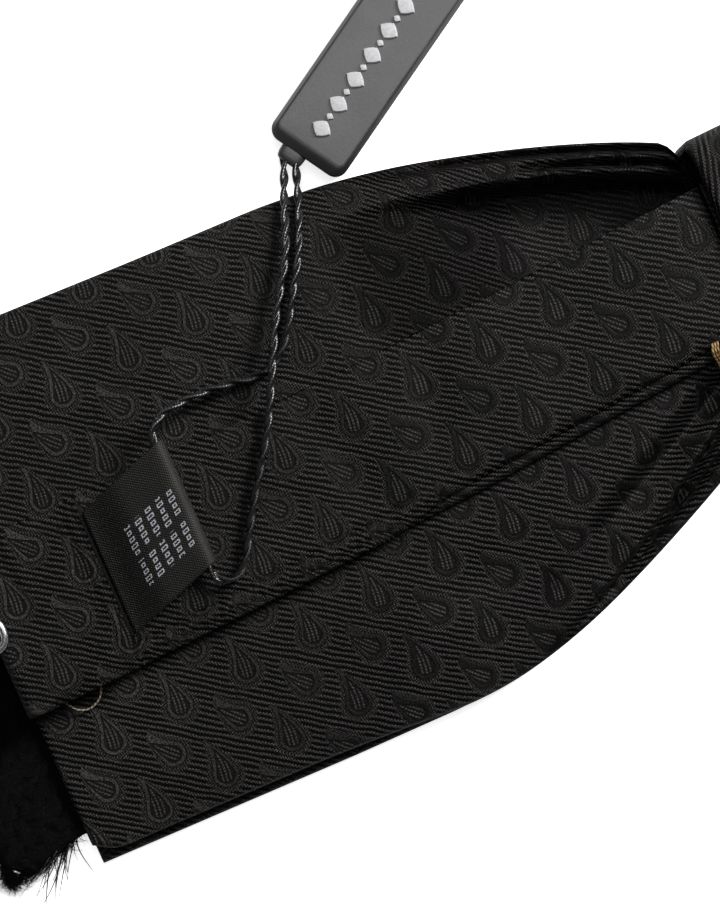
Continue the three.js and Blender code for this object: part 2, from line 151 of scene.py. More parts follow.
def shells(name, rings, startAt=0.0, closedAlong=False, sharp=50):
    # rings: shells x stations x points round x 3, joined by quads, both ends closed by a ladder
    # of quads. The uv map is the way along by the way round, in millimetres.
    rings = np.asarray(rings, float)
    many, steps, sides = rings.shape[:3]
    index = np.arange(many * steps * sides).reshape(many, steps, sides)
    if closedAlong:
        index = np.concatenate([index, index[:, :1]], 1)
        rings = np.concatenate([rings, rings[:, :1]], 1)
    around = np.concatenate([rings, rings[:, :, :1]], 2)
    stride = np.linalg.norm(np.diff(rings, axis=1), axis=-1).mean(2)
    u = startAt + np.concatenate([np.zeros((many, 1)), np.cumsum(stride, 1)], 1)
    v = np.linalg.norm(np.diff(around, axis=2), axis=-1)
    v = np.concatenate([np.zeros(v.shape[:2] + (1,)), np.cumsum(v, 2)], 2)
    uv = np.stack([np.broadcast_to(u[..., None], v.shape), v], -1)
    wrapped = np.concatenate([index, index[:, :, :1]], 2)

    def quads(grid):
        # each point with its neighbours ahead and round
        return np.stack([grid[:, :-1, :-1], grid[:, 1:, :-1], grid[:, 1:, 1:], grid[:, :-1, 1:]], 3)
    faces = [quads(wrapped).reshape(-1, 4)]
    faceUvs = [quads(uv).reshape(-1, 4, 2)]
    if not closedAlong:
        near = np.arange(sides // 2)
        far = sides - 1 - near
        rungs = (near[:-1], near[1:], far[1:], far[:-1])
        for end, turn in ((0, 1), (-1, -1)):
            faces.append(np.stack([index[:, end][:, at] for at in rungs], 2).reshape(-1, 4)[:, ::turn])
            faceUvs.append(np.stack([uv[:, end][:, at] for at in rungs], 2).reshape(-1, 4, 2)[:, ::turn])
    points = rings[:, :steps].reshape(-1, 3)
    return putMesh(name, points, np.concatenate(faces), np.concatenate(faceUvs), sharp)


def slab(name, x, y, top, bottom):
    # a sheet between two heights over the same plan: out along the top, back along the underside
    upper = np.stack([x, y, top], -1)
    lower = np.stack([x, y, bottom], -1)[:, ::-1]
    return shells(name, np.concatenate([upper, lower], 1)[None])


def band(name, path, low, high, thick, across, over=0.0, under=0.0, edge=0.5, endRound=0.35):
    # a flat tape: its middle follows path's x and z, and it lies between two y edges, pushed out
    # on both faces by half its thickness along the path's normal, with rounded edges and ends
    run = np.gradient(path, axis=0)
    run /= np.linalg.norm(run, axis=1)[:, None]
    normal = np.stack([-run[:, 1], run[:, 0]], 1)
    way = wayAlong(path)
    y = betweenEdges(low, high, across)
    inside = np.minimum(y - low[:, None], high[:, None] - y)
    fromEnd = np.minimum(way, way[-1] - way)[:, None]
    half = thick / 2 * roundOff(inside, edge) * roundOff(fromEnd, endRound, 0.3)

    def face(by):
        # the path's middle line moved along its normal
        return np.stack([path[:, :1] + normal[:, :1] * by, y, path[:, 1:] + normal[:, 1:] * by], -1)
    return shells(name, np.concatenate([face(half + over), face(under - half)[:, ::-1]], 1)[None])


def tubes(paths, radii, sides=8, reference=(0.5, 0.62, -0.6), section=None):
    # rings square to each path; section gives the share of the radius round the ring
    paths = np.asarray(paths, float)
    run = np.gradient(paths, axis=1)
    run /= np.linalg.norm(run, axis=-1)[..., None]
    side = np.cross(run, np.asarray(reference))
    side /= np.linalg.norm(side, axis=-1)[..., None]
    other = np.cross(run, side)
    angle = np.arange(sides) * 2 * math.pi / sides
    radii = np.broadcast_to(radii, paths.shape[:2])[..., None]
    if section is not None:
        radii = radii * section(paths, angle)
    radii = np.broadcast_to(radii, paths.shape[:2] + (sides,))[..., None]
    return (paths[:, :, None] + radii * (np.cos(angle)[:, None] * side[:, :, None]
                                         + np.sin(angle)[:, None] * other[:, :, None]))


def throughPoints(points, count):
    # cubics through the points, paced by the square root of each gap, with matched slopes
    p = np.asarray(points, float)
    t = np.concatenate([[0], np.cumsum(np.sqrt(np.linalg.norm(np.diff(p, axis=0), axis=1)))])
    slope = np.gradient(p, t, axis=0)
    s = np.linspace(0, t[-1], count)
    i = np.clip(np.searchsorted(t, s, side="right") - 1, 0, len(t) - 2)
    gap = (t[i + 1] - t[i])[:, None]
    w = (s - t[i])[:, None] / gap
    return ((2 * w**3 - 3 * w**2 + 1) * p[i] + (w**3 - 2 * w**2 + w) * slope[i] * gap
            + (3 * w**2 - 2 * w**3) * p[i + 1] + (w**3 - w**2) * slope[i + 1] * gap)


def arc(x, z, radius, start, end, count):
    # points on a circle in the x and z plane, between two angles in degrees
    angle = np.radians(np.linspace(start, end, count))
    return np.stack([x + radius * np.cos(angle), z + radius * np.sin(angle)], 1)


def evenly(path, count):
    # the same line with its points at even steps
    way = wayAlong(path)
    at = np.linspace(0, way[-1], count)
    return np.stack([np.interp(at, way, path[:, k]) for k in range(path.shape[1])], 1)


def join(tree, value, socket):
    # a field is linked to the socket, a colour gets its alpha, and a number is set as it is
    if isinstance(value, Field):
        tree.links.new(value.socket, socket)
    else:
        socket.default_value = (*value, 1) if isinstance(value, tuple) else value


class Field:
    # a number at every shaded point: each sum with it adds one math node to the tree
    def __init__(self, tree, socket):
        self.tree, self.socket = tree, socket

    def made(self, node, values):
        # joins the node's inputs in order, and gives its first output as a field
        for socket, value in zip(node.inputs, values):
            join(self.tree, value, socket)
        return Field(self.tree, node.outputs[0])

    def by(self, operation, *others, turned=False):
        # the field and the others, or the other way round, through one math node
        node = self.tree.nodes.new("ShaderNodeMath")
        node.operation = operation
        return self.made(node, (*others, self) if turned else (self, *others))

    def wave(self, pitch=1.0):
        # the cosine of a full turn for each pitch
        return (self * (2 * math.pi / pitch)).by("COSINE")

    def step(self, low, high, toLow=0.0, toHigh=1.0):
        # toLow up to low, toHigh past high, and three squares less two cubes of the way between
        node = self.tree.nodes.new("ShaderNodeMapRange")
        node.interpolation_type = "SMOOTHSTEP"
        return self.made(node, (self, low, high, toLow, toHigh))


def signFor(operation, turned=False):
    # what a sign between a field and something else stands for
    return lambda field, other: field.by(operation, other, turned=turned)


Field.__add__, Field.__mul__, Field.__truediv__ = signFor("ADD"), signFor("MULTIPLY"), signFor("DIVIDE")
Field.__sub__, Field.__rsub__ = signFor("SUBTRACT"), signFor("SUBTRACT", True)


class Look:
    # a material in the making: its tree, its shader, and the place that its patterns follow
    def __init__(self, name, specular=0.3, roughness=0.6, metallic=0.0):
        self.material = bpy.data.materials.new(name)
        self.material.use_nodes = True
        self.tree = self.material.node_tree
        self.shader = self.tree.nodes["Principled BSDF"]
        self.set("Specular IOR Level", specular)
        self.set("Roughness", roughness)
        self.set("Metallic", metallic)

    def set(self, socket, value):
        # gives the shader a number, a colour or a field
        join(self.tree, value, self.shader.inputs[socket])

    def parts(self, vector):
        # a vector's first two numbers
        apart = self.tree.nodes.new("ShaderNodeSeparateXYZ")
        self.tree.links.new(vector, apart.inputs[0])
        return Field(self.tree, apart.outputs[0]), Field(self.tree, apart.outputs[1])

    def clothPlace(self):
        # the piece's own map
        made = self.tree.nodes.new("ShaderNodeUVMap")
        made.uv_map = "cloth"
        return made.outputs[0]

    def lay(self, onCloth=True, turn=0.0):
        # millimetres over the cloth, turned: from the piece's own map, or from where it lies
        mapping = self.tree.nodes.new("ShaderNodeMapping")
        mapping.inputs["Rotation"].default_value = (0, 0, turn)
        if onCloth:
            place = self.clothPlace()
        else:
            place = self.tree.nodes.new("ShaderNodeTexCoord").outputs["Object"]
            mapping.inputs["Scale"].default_value = (perMetre,) * 3
        self.tree.links.new(place, mapping.inputs["Vector"])
        self.place = mapping.outputs[0]
        return self.parts(self.place)

    def noise(self, scale, detail=2.0, roughness=0.5):
        # soft random patches, as many to the millimetre as scale says
        made = self.tree.nodes.new("ShaderNodeTexNoise")
        for socket, value in (("Scale", scale), ("Detail", detail), ("Roughness", roughness)):
            made.inputs[socket].default_value = value
        self.tree.links.new(self.place, made.inputs["Vector"])
        return Field(self.tree, made.outputs["Fac"])

    def mix(self, share, low, high):
        # the colour that lies the share of the way from low to high
        made = self.tree.nodes.new("ShaderNodeMix")
        made.data_type = "RGBA"
        for socket, value in ((made.inputs["Factor"], share), (made.inputs[6], low), (made.inputs[7], high)):
            join(self.tree, value, socket)
        return Field(self.tree, made.outputs[2])

    def bump(self, height, depth):
        # tilts the normal by the slope of height times depth, and gives the finished material
        made = self.tree.nodes.new("ShaderNodeBump")
        made.inputs["Strength"].default_value = 1.0
        made.inputs["Distance"].default_value = depth / perMetre
        join(self.tree, height, made.inputs["Height"])
        self.tree.links.new(made.outputs[0], self.shader.inputs["Normal"])
        return self.material


def dimmed(colour, share):
    # a colour times a number
    return tuple(part * share for part in colour)


silkLook = {
    "ribPitch": 0.73,             # twill ribs of the ground, in millimetres
    "ribLean": -11.0,             # their slope once the cloth is turned by patternTurn
    "floatPitch": 0.41,           # single floats along a rib
    "patternTurn": 24.0,
    "rowStep": (-8.4, -4.56),     # from one drop to its neighbour in the row
    "columnStep": (-2.6, -13.25),
    "firstDrop": (-80.45, -59.1),
    "secondShift": (-0.9, -6.1),  # a lying drop belongs to each standing one
    "dark": (0.0011, 0.0010, 0.0010),
    "bright": (0.068, 0.064, 0.061),
    "roughness": 0.5,
    "specular": 0.05,
    "weaveDepth": 0.15,
    "bandSheenFades": (62.0, 118.0),   # painted sheen: where a drop's satin band goes from dark to pale
    "bandSheen": (0.09, 0.44),
    "coreLight": 0.78,
    "corePitch": (0.52, 0.4),     # rows of dots across and along a drop's core
    "loosePitch": 0.40,           # loose dots round a drop
    "looseLight": 0.72,
    "slopeShadeFades": (0.0, 0.20),    # painted shade: silk that slopes down to the knot goes from full light to this
    "slopeShadeLight": 0.38,
}
dropKinds = (
    {"lean": 105.0, "curl": 0.07, "innerCurl": 0.85, "outerRound": 1.66, "outerTip": 4.9, "innerRound": 1.26,
     "innerTip": 3.9},
    {"lean": 160.0, "curl": -0.085, "innerCurl": 0.3, "outerRound": 1.62, "outerTip": 4.8, "innerRound": 1.16,
     "innerTip": 3.5},
)


def dropFields(s, t, shift, kind):
    # a drop about the nearest lattice point: round below, drawn out to a tip that curls aside.
    # Its squared reach is (across / tapered width) squared plus (along / length) squared.
    (ax, ay), (bx, by) = silkLook["rowStep"], silkLook["columnStep"]
    det = ax * by - ay * bx
    s = s - (by * shift[0] - bx * shift[1]) / det
    t = t - (ax * shift[1] - ay * shift[0]) / det
    s, t = s - s.by("ROUND"), t - t.by("ROUND")
    c, n = math.cos(math.radians(kind["lean"])), math.sin(math.radians(kind["lean"]))
    along = s * (ax * c + ay * n) + t * (bx * c + by * n)
    side = s * (ay * c - ax * n) + t * (by * c - bx * n)
    ahead = along.by("MAXIMUM", 0.0)
    bent = ahead * ahead * kind["curl"]

    def reach(across, roundness, tip):
        # the width narrows evenly to a tenth at the tip
        taper = (1.0 - ahead * (0.82 / tip)).by("MAXIMUM", 0.10)
        wide = across / roundness / taper
        far = (along / tip).by("MAXIMUM", along / -roundness)
        return wide * wide + far * far
    innerSide = side - bent * kind["innerCurl"]
    return (reach(side - bent, kind["outerRound"], kind["outerTip"]),
            reach(innerSide, kind["innerRound"], kind["innerTip"]), innerSide, along)


def paintedSlopeShade(look):
    # painted shade for the hollow by the knot: 1 on level cloth, less where the silk slopes down towards the
    # knot.
    # The slope is the normal's x against the sign of the way along from the bow's middle.
    along = look.parts(look.clothPlace())[0]
    facing = look.parts(look.tree.nodes.new("ShaderNodeTexCoord").outputs["Normal"])[0]
    return (facing * along.by("SIGN") * -1.0).step(*silkLook["slopeShadeFades"], 1.0, silkLook["slopeShadeLight"])


def silkMaterial(name, onCloth=True, turn=0.0, shade=1.0):
    # twill ribs made of single floats; round each drop they break up into loose dots. A drop is a
    # smooth satin band, a dark groove inside it and a core of dotted rows.
    weave = silkLook
    look = Look(name, weave["specular"], weave["roughness"])
    i, j = look.lay(onCloth, math.radians(weave["patternTurn"] + turn))
    lean = math.radians(weave["ribLean"])
    ribWay = i * -math.sin(lean) + j * math.cos(lean) + (look.noise(0.30) - 0.5) * 0.6
    alongRib = i * math.cos(lean) + j * math.sin(lean)
    stagger = (ribWay / weave["ribPitch"]).by("FLOOR") * 0.5
    floatWave = (alongRib / weave["floatPitch"] + stagger).wave()
    ribLight = ribWay.wave(weave["ribPitch"]).step(-0.5, 1.0) * (floatWave * 0.50 + 0.58)
    loose = (floatWave * ribWay.wave(weave["loosePitch"])).step(-0.5, 0.9) * weave["looseLight"]

    (ax, ay), (bx, by) = weave["rowStep"], weave["columnStep"]
    det = ax * by - ay * bx
    fromI, fromJ = i - weave["firstDrop"][0], j - weave["firstDrop"][1]
    s = fromI * (by / det) + fromJ * (-bx / det)
    t = fromI * (-ay / det) + fromJ * (ax / det)
    drops = [dropFields(s, t, shift, kind)
             for kind, shift in zip(dropKinds, ((0.0, 0.0), weave["secondShift"]))]
    nearest = drops[0][0].by("MINIMUM", drops[1][0])
    halo = nearest.step(2.7, 1.5)
    light = (ribLight * (1.0 - halo) + loose * halo) * (1.0 - nearest.step(1.5, 1.1) * 0.6)
    # painted sheen: the satin band is nearly black towards the knot and paler towards the open end
    bandSheen = (i.by("ABSOLUTE") + look.noise(0.09) * 40.0).step(*weave["bandSheenFades"], *weave["bandSheen"])
    satin = None
    for outer, inner, innerSide, along in drops:
        inBand, inGroove = outer.step(1.08, 0.92), inner.step(1.12, 0.88)
        rows = innerSide.wave(weave["corePitch"][0]).step(-0.5, 0.9)
        dotted = rows * (along.wave(weave["corePitch"][1]) * 0.4 + 0.6) * weave["coreLight"]
        band = inBand * (1.0 - inGroove)
        inside = band * bandSheen + inGroove * (inner.step(0.62, 0.44) * dotted + 0.06)
        light = light * (1.0 - inBand) + inside * inBand
        satin = band if satin is None else satin.by("MAXIMUM", band)
    threads = look.noise(3.6, 2, 0.75)
    patches = look.noise(0.06, 3).step(0.3, 0.7, 0.80, 1.14)
    light = light * threads.step(0.28, 0.72, 0.10, 1.75) * patches * shade
    if onCloth:
        # painted shade: the colour and the reflection are dimmed where the silk slopes down towards the knot
        slopeShade = paintedSlopeShade(look)
        light = light * slopeShade
        look.set("Specular IOR Level", slopeShade * slopeShade * weave["specular"])
    look.set("Base Color", look.mix(light, weave["dark"], weave["bright"]))
    look.set("Roughness", threads * 0.12 + weave["roughness"] - satin * 0.12)
    return look.bump(light * 0.8 + satin * 0.3, weave["weaveDepth"])


def strandMaterial(name, colour, twistPitch=0.9, specular=0.3, roughness=0.55, depth=0.06):
    # spun thread: slanted plies from the way along and the way round, with lighter crowns
    look = Look(name, specular, roughness)
    u, v = look.lay()
    ply = (u / twistPitch + v * 1.1).wave()
    crown = ply.step(-0.8, 1.0) * look.noise(2.2, 3).step(0.2, 0.8, 0.55, 1.1)
    look.set("Base Color", look.mix(crown, dimmed(colour, 0.25), colour))
    return look.bump(crown, depth)


def woolMaterial(name, onCloth=True):
    # brushed wool: matt and nearly black, with paler fibre ends lying every way
    look = Look(name, 0.04, 0.95)
    look.lay(onCloth, 0.3)
    fibres, clumps = look.noise(4.2, 6, 0.8), look.noise(0.45, 3, 0.6)
    share = fibres.step(0.50, 0.80) * clumps.step(0.3, 0.75, 0.35, 1.1)
    look.set("Base Color", look.mix(share, (0.0030, 0.0028, 0.0027), (0.050, 0.047, 0.045)))
    return look.bump(fibres + clumps * 0.8, 0.45)


def steelMaterial(name):
    # drawn and tumbled wire: fine scratches along it and a little dulling in patches
    look = Look(name, 0.5, 0.22, 1.0)
    look.lay()
    scratches, dull = look.noise(7.0, 4, 0.7), look.noise(0.5, 3, 0.6)
    look.set("Base Color", look.mix(dull.step(0.35, 0.75), (0.62, 0.62, 0.63), (0.42, 0.42, 0.43)))
    look.set("Roughness", dull.step(0.3, 0.8, 0.14, 0.3) + scratches * 0.1)
    return look.bump(scratches, 0.012)


def fit(piece, material, body=None, stands=()):
    # dresses a piece, gives it the body it rides on, and hides the frame parts that it stands for
    piece.data.materials.clear()
    piece.data.materials.append(material)
    if body:
        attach(piece, body)
    if stands:
        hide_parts(*stands)
    return piece


studio = {
    "lens": 100.0,
    "sensor": 36.0,
    "cameraAt": (-0.06374, -0.00131, 0.3226),
    "cameraTurn": -24.0,
    "skyStrength": 0.10,
    "keyAt": (0.36, 0.15, 0.33),
    "keySize": 0.16,
    "keyPower": 5.9,
    "fillAt": (0.03, 0.19, 0.62),     # seen in the seal tag's face
    "fillSize": 0.34,
    "fillPower": 1.3,
    "floorSize": 4.0,
    "floorHeight": -0.0003,
    "floorGlow": 0.78,       # the table's own light as the camera meets it
    "floorSpill": 0.12,      # and as the cloth meets it
}

cameraData = bpy.data.cameras.new("camera")
cameraData.lens = studio["lens"]
cameraData.sensor_width = studio["sensor"]
cameraData.clip_start = 0.01
camera = bpy.data.objects.new("camera", cameraData)
camera.location = studio["cameraAt"]
camera.rotation_euler = (0, 0, math.radians(studio["cameraTurn"]))
bpy.context.scene.collection.objects.link(camera)
bpy.context.scene.camera = camera
bpy.context.scene.view_settings.view_transform = "Standard"

world = bpy.data.worlds.new("studioAir")
world.use_nodes = True
sky = world.node_tree.nodes["Background"].inputs
sky["Color"].default_value = (1.0, 0.99, 0.98, 1)
sky["Strength"].default_value = studio["skyStrength"]
bpy.context.scene.world = world


def softLight(name, at, size, power):
    # a square light turned towards the middle of the left wing
    data = bpy.data.lights.new(name, "AREA")
    data.size = size
    data.energy = power
    light = bpy.data.objects.new(name, data)
    light.location = at
    light.rotation_euler = (Vector((-0.05, 0, 0)) - Vector(at)).to_track_quat("-Z", "Y").to_euler()
    bpy.context.scene.collection.objects.link(light)


softLight("keyLight", studio["keyAt"], studio["keySize"], studio["keyPower"])
softLight("fillLight", studio["fillAt"], studio["fillSize"], studio["fillPower"])

half = studio["floorSize"] / 2
floorMesh = bpy.data.meshes.new("floor")
floorCorners = [(x * half, y * half, studio["floorHeight"]) for x, y in ((-1, -1), (1, -1), (1, 1), (-1, 1))]
floorMesh.from_pydata(floorCorners, [], [(0, 1, 2, 3)])
floor = bpy.data.objects.new("floor", floorMesh)
bpy.context.scene.collection.objects.link(floor)
paper = Look("paleTable", 0.1, 0.9)
paper.set("Base Color", (0.9, 0.9, 0.9))
paper.set("Emission Color", (1.0, 1.0, 1.0))
seen = Field(paper.tree, paper.tree.nodes.new("ShaderNodeLightPath").outputs["Is Camera Ray"])
paper.set("Emission Strength", seen.step(0.0, 1.0, studio["floorSpill"], studio["floorGlow"]))
fit(floor, paper.material)
print("studio: camera, two soft lights and a pale table")


cordWay = [
    [-57.3, 37.0, 2.0], [-58.5, 34.1, 3.6], [-59.7, 31.2, 5.5], [-60.8, 28.2, 7.0], [-62.3, 24.9, 8.1],
    [-64.4, 21.6, 8.7], [-66.6, 18.1, 9.2], [-68.6, 14.3, 9.9], [-70.3, 11.0, 10.4], [-72.7, 6.6, 10.6],
    [-75.5, 2.4, 10.4], [-78.2, -1.4, 10.1], [-79.9, -4.1, 9.9], [-81.5, -6.7, 9.8], [-82.9, -8.5, 9.8],
    [-84.6, -9.2, 9.8], [-86.1, -8.5, 9.9], [-86.6, -6.9, 9.9], [-86.6, -4.0, 9.9], [-86.6, -1.0, 9.9],
    [-86.6, 1.8, 9.9], [-86.6, 6.0, 9.9], [-86.6, 10.2, 9.9], [-86.0, 12.0, 9.8], [-84.5, 13.0, 9.4],
    [-82.0, 13.5, 8.8], [-78.8, 13.6, 8.2], [-75.4, 13.3, 7.9], [-72.3, 12.8, 7.9], [-69.6, 13.0, 8.0],
    [-67.2, 14.7, 8.1], [-65.2, 17.3, 8.3], [-63.1, 20.7, 8.2], [-61.0, 24.0, 7.6], [-59.4, 27.3, 6.6],
    [-58.1, 30.4, 5.2], [-57.1, 33.2, 3.5], [-56.1, 36.1, 2.0],
]
cordLook = {
    "diameter": 1.1,
    "fullness": 1.04,        # makes up for the flats that a ring of points cuts off
    "twistPitch": 6.4,       # one full turn of the two plies
    "steps": 420,
    "sides": 28,
    "plyGap": 0.9,           # how far each ply's middle stands off, as a share of its radius
    "colour": (0.010, 0.0095, 0.0095),
}

waxed = Look("waxedCord", 0.38, 0.32)
u, v = waxed.lay()
strands = (u * 1.9 + v * 2.6).wave()
smears = waxed.noise(1.3, 4, 0.6)
waxed.set("Base Color", waxed.mix(smears.step(0.3, 0.75), (0.004, 0.004, 0.004), cordLook["colour"]))
waxed.set("Roughness", smears.step(0.25, 0.8, 0.22, 0.36))
waxedCord = waxed.bump(strands * 0.4 + smears, 0.018)

cordPath = evenly(throughPoints(cordWay, 900), cordLook["steps"])


def twoPlies(paths, angle):
    # two round plies side by side, turning with the way along: the outline's reach is the ply
    # gap times the cosine, plus the chord that is left of the ply
    way = np.array([wayAlong(path) for path in paths])
    turned = angle - 2 * math.pi * way[..., None] / cordLook["twistPitch"]
    gap = cordLook["plyGap"]
    reach = gap * np.abs(np.cos(turned)) + np.sqrt(1 - (gap * np.sin(turned)) ** 2)
    return reach / (1 + gap)


cordRings = tubes([cordPath], cordLook["diameter"] / 2 * cordLook["fullness"], cordLook["sides"],
                  (0, 0.05, 1), twoPlies)
hangCord = fit(shells("hangCord", cordRings, sharp=80), waxedCord, "hang_tag",
               ["hang_cord_a", "hang_cord_b"])


sealLook = {
    "length": 36.0, "width": 11.2, "corner": 1.7, "bevel": 0.85, "bevelDrop": 0.62,
    "end": (-55.1, 36.0), "turn": 31.5,
    "lowerTop": 1.7, "upperBase": 2.0, "upperTop": 3.7,
    "face": (0.016, 0.016, 0.017), "ornament": (0.40, 0.40, 0.41),
    "diamonds": 16, "firstDiamond": 4.2, "diamondStep": 1.88,
    "diamondLong": (1.22, 0.50), "diamondWide": (1.42, 0.55),     # large and small in turn
    "collar": ((-1.7, 0.75), (-1.5, 1.0), (-0.9, 1.12), (-0.2, 1.15), (0.6, 1.15)),
}


def sealPlace(points):
    # from the tag's own length and width to where it lies
    turn = math.radians(sealLook["turn"])
    x, y, z = points[..., 0], points[..., 1], points[..., 2]
    return np.stack([sealLook["end"][0] + x * math.cos(turn) - y * math.sin(turn),
                     sealLook["end"][1] + x * math.sin(turn) + y * math.cos(turn), z], -1)


def tablet(levels, each=16):
    # stacked rounded outlines: each level is a height and how far the outline is drawn in
    rings = []
    for z, inset in levels:
        length, width = sealLook["length"] - 2.5 * inset, sealLook["width"] - 1.4 * inset
        corner = max(sealLook["corner"] - inset * 1.1, 0.5)
        outline = roundedRectangle(length / 2 - corner, width / 2 - corner, corner, each)
        outline = outline + np.array([length / 2 + 1.5 * inset, 0])
        rings.append(np.concatenate([outline, np.full((len(outline), 1), z)], 1))
    return sealPlace(np.stack(rings))


def curvedLevels(base, top, inset, turnIn, bevelIn, bevelDrop):
    # round under edge, straight wall, soft turn into a sloping bevel, and a soft turn to the face
    under = [(base + turnIn * (1 - math.sin(a)), inset + turnIn * (1 - math.cos(a)))
             for a in np.linspace(math.pi / 2, 0, 5)]
    wallTop = top - bevelDrop
    turnOver = [(wallTop - 0.22 + 0.22 * math.sin(a), inset + 0.22 * (1 - math.cos(a)))
                for a in np.linspace(0, 0.9, 4)]
    slope = [(wallTop + bevelDrop * s * 0.94, inset + 0.14 + (bevelIn - 0.2) * s) for s in (0.25, 0.6, 0.9)]
    face = [(top - drop, inset + bevelIn + within) for drop, within in ((0.015, 0.05), (0, 0.35), (0, 1.2))]
    return under + turnOver + slope + face


plastic = Look("sealPlastic", 0.85, 0.36)
plastic.lay(False, -math.radians(sealLook["turn"]))
grain = plastic.noise(2.4, 5, 0.65)
rubs = plastic.noise(0.22, 3)
plastic.set("Base Color", plastic.mix(rubs.step(0.3, 0.75), dimmed(sealLook["face"], 0.75),
                                      dimmed(sealLook["face"], 1.15)))
plastic.set("Roughness", rubs.step(0.3, 0.75, 0.30, 0.40) + grain * 0.12)
sealPlastic = plastic.bump(grain, 0.02)

ornament = Look("paleInlay", 0.4, 0.45)
ornament.lay(False)
speck = ornament.noise(3.0, 4, 0.6)
ornament.set("Base Color", ornament.mix(speck.step(0.3, 0.7), dimmed(sealLook["ornament"], 0.8),
                                        sealLook["ornament"]))
paleInlay = ornament.bump(speck, 0.02)

upperLevels = curvedLevels(sealLook["upperBase"], sealLook["upperTop"], 0.0, 0.3, sealLook["bevel"],
                           sealLook["bevelDrop"])
lowerLevels = curvedLevels(0.0, sealLook["lowerTop"], 0.4, 0.45, 0.5, 0.2)
sealTop = fit(shells("sealTop", tablet(upperLevels)[None], sharp=40), sealPlastic, "hang_tag",
              ["seal_top"])
sealBottom = fit(shells("sealBottom", tablet(lowerLevels)[None], sharp=40), sealPlastic, "hang_tag",
                 ["seal_bottom", "cord_lock"])


def lozenges(alongs, longs, wides, base, high):
    # raised diamonds on the tag's middle line: a wide foot, a sloping side and a slightly domed top
    angle = fullTurn(16)
    levels = np.array([[0, 1.0], [0.7, 0.94], [1.0, 0.82], [1.12, 0.4]])
    rings = np.empty((len(alongs), len(levels), 16, 3))
    share = levels[:, 1][None, :, None] * squarer(angle, 1.25)
    rings[..., 0] = alongs[:, None, None] + share * longs[:, None, None] * np.cos(angle)
    rings[..., 1] = share * wides[:, None, None] * np.sin(angle)
    rings[..., 2] = base + high * levels[:, 0][None, :, None]
    return sealPlace(rings)


order = np.arange(sealLook["diamonds"])
diamondRings = lozenges(order * sealLook["diamondStep"] + sealLook["firstDiamond"],
                        np.where(order % 2 == 0, *sealLook["diamondLong"]),
                        np.where(order % 2 == 0, *sealLook["diamondWide"]), sealLook["upperTop"] - 0.03, 0.42)
sealInlay = fit(shells("sealInlay", diamondRings, sharp=35), paleInlay, "hang_tag")

collarTurn = fullTurn(24)
collarShape = squarer(collarTurn, 4)
collarRings = np.stack([
    np.stack([np.full(24, at), 1.35 + 1.75 * half / 1.15 * collarShape * np.cos(collarTurn),
              2.0 + 0.95 * half / 1.15 * collarShape * np.sin(collarTurn)], 1)
    for at, half in sealLook["collar"]
])
sealCollar = fit(shells("sealCollar", sealPlace(collarRings)[None], sharp=45), sealPlastic, "hang_tag")
print("seal tag: two shells, inlay and collar")


backLow, backHigh = corners("wing_back_panel")
knotHigh, endLow = corners("knot_wrap")[1], corners("short_end_fold")[0]
wingReach, waistTop, knotSide = backHigh[0], backHigh[2], knotHigh[0]
upperReach, lowerReach, strapReach = backHigh[1], -backLow[1], -endLow[0]

wings = {
    "waistReach": 15.2,
    "endDepth": 4.6,
    "rimDepth": 4.0,
    "frontLift": 3.7,          # how far the front panel stands off the table at the waist
    "waistSilk": 3.3,
    "silk": 1.2,
    "edgeRound": 0.75,
    "pocketDepth": 6.2,
    "rippleHeight": 0.22,
    "stations": 300,
    "across": 112,
}


# folds along the lower and the upper edge: how deep (ridges are less than nothing), how far from
# the edge, how wide, and between which distances from the middle they fade
lowerFolds = ((1.7, 5.3, 0.55, (38, 53)), (1.4, 3.0, 0.45, (36, 47)), (-0.55, 6.8, 0.9, (34, 52)),
              (-0.35, 4.15, 0.55, (34, 48)))
upperFolds = ((1.6, 1.0, 0.5, (36, 50)), (1.5, 3.0, 0.42, (24, 34)), (-0.4, 2.1, 0.6, (36, 52)),
              (-0.35, 3.9, 0.6, (26, 40)))
frontFolds = ((1.3, -9.5, 1.2), (1.2, 0.4, 1.0), (1.3, 8.5, 1.2), (0.9, 12.5, 0.7), (0.9, -13, 0.7))
dimples = ((1.0, (56, 5.5), (-21.5, 3.6)), (0.7, (46, 4), (-25.5, 3)))


def wingBack(x):
    # half a cosine from the waist's height to the open end's
    along = np.clip((np.abs(x) - knotSide) / (wingReach - knotSide), 0, 1)
    return wings["endDepth"] + (waistTop - wings["endDepth"]) * (1 + np.cos(along * math.pi)) / 2


def wingRim(x):
    # the rims come down to their own height over the first 28 mm
    return blendOf(waistTop, wings["rimDepth"], ease(np.abs(x), knotSide, knotSide + 28))


def wingFront(x):
    # the front panel's underside: off the table at the waist, and on it from 24 mm out
    return blendOf(wings["frontLift"], 0, ease(np.abs(x), knotSide + 1, knotSide + 24))


def silkDepth(x):
    # the gathered silk's thickness at the knot eases to the flat cloth's over 34 mm
    return blendOf(wings["waistSilk"], wings["silk"], ease(np.abs(x), knotSide, knotSide + 34))


def gatheredEdge(far, full):
    # the waist's reach under the knot, and the full one as soon as the cloth leaves it
    return blendOf(wings["waistReach"], full, ease(far, knotSide - 0.4, knotSide + 1.8))


def upperEdge(x):
    # a quarter sine to nearly full height, then a slow straight rise
    far = np.abs(x)
    rise = np.sin(np.clip((far - 10) / 56, 0, 1) * math.pi / 2) ** 0.85
    return gatheredEdge(far, upperReach - 15.65 + 16 * rise + 1.8 * np.clip((far - 60) / 55, 0, 1))


def lowerEdge(x):
    # a quarter sine to full height, then a very slow straight fall
    far = np.abs(x)
    rise = np.sin(np.clip((far - 12) / 55, 0, 1) * math.pi / 2)
    return gatheredEdge(far, lowerReach - 19.0 + 19.9 * rise - 0.5 * np.clip((far - 80) / 35, 0, 1))


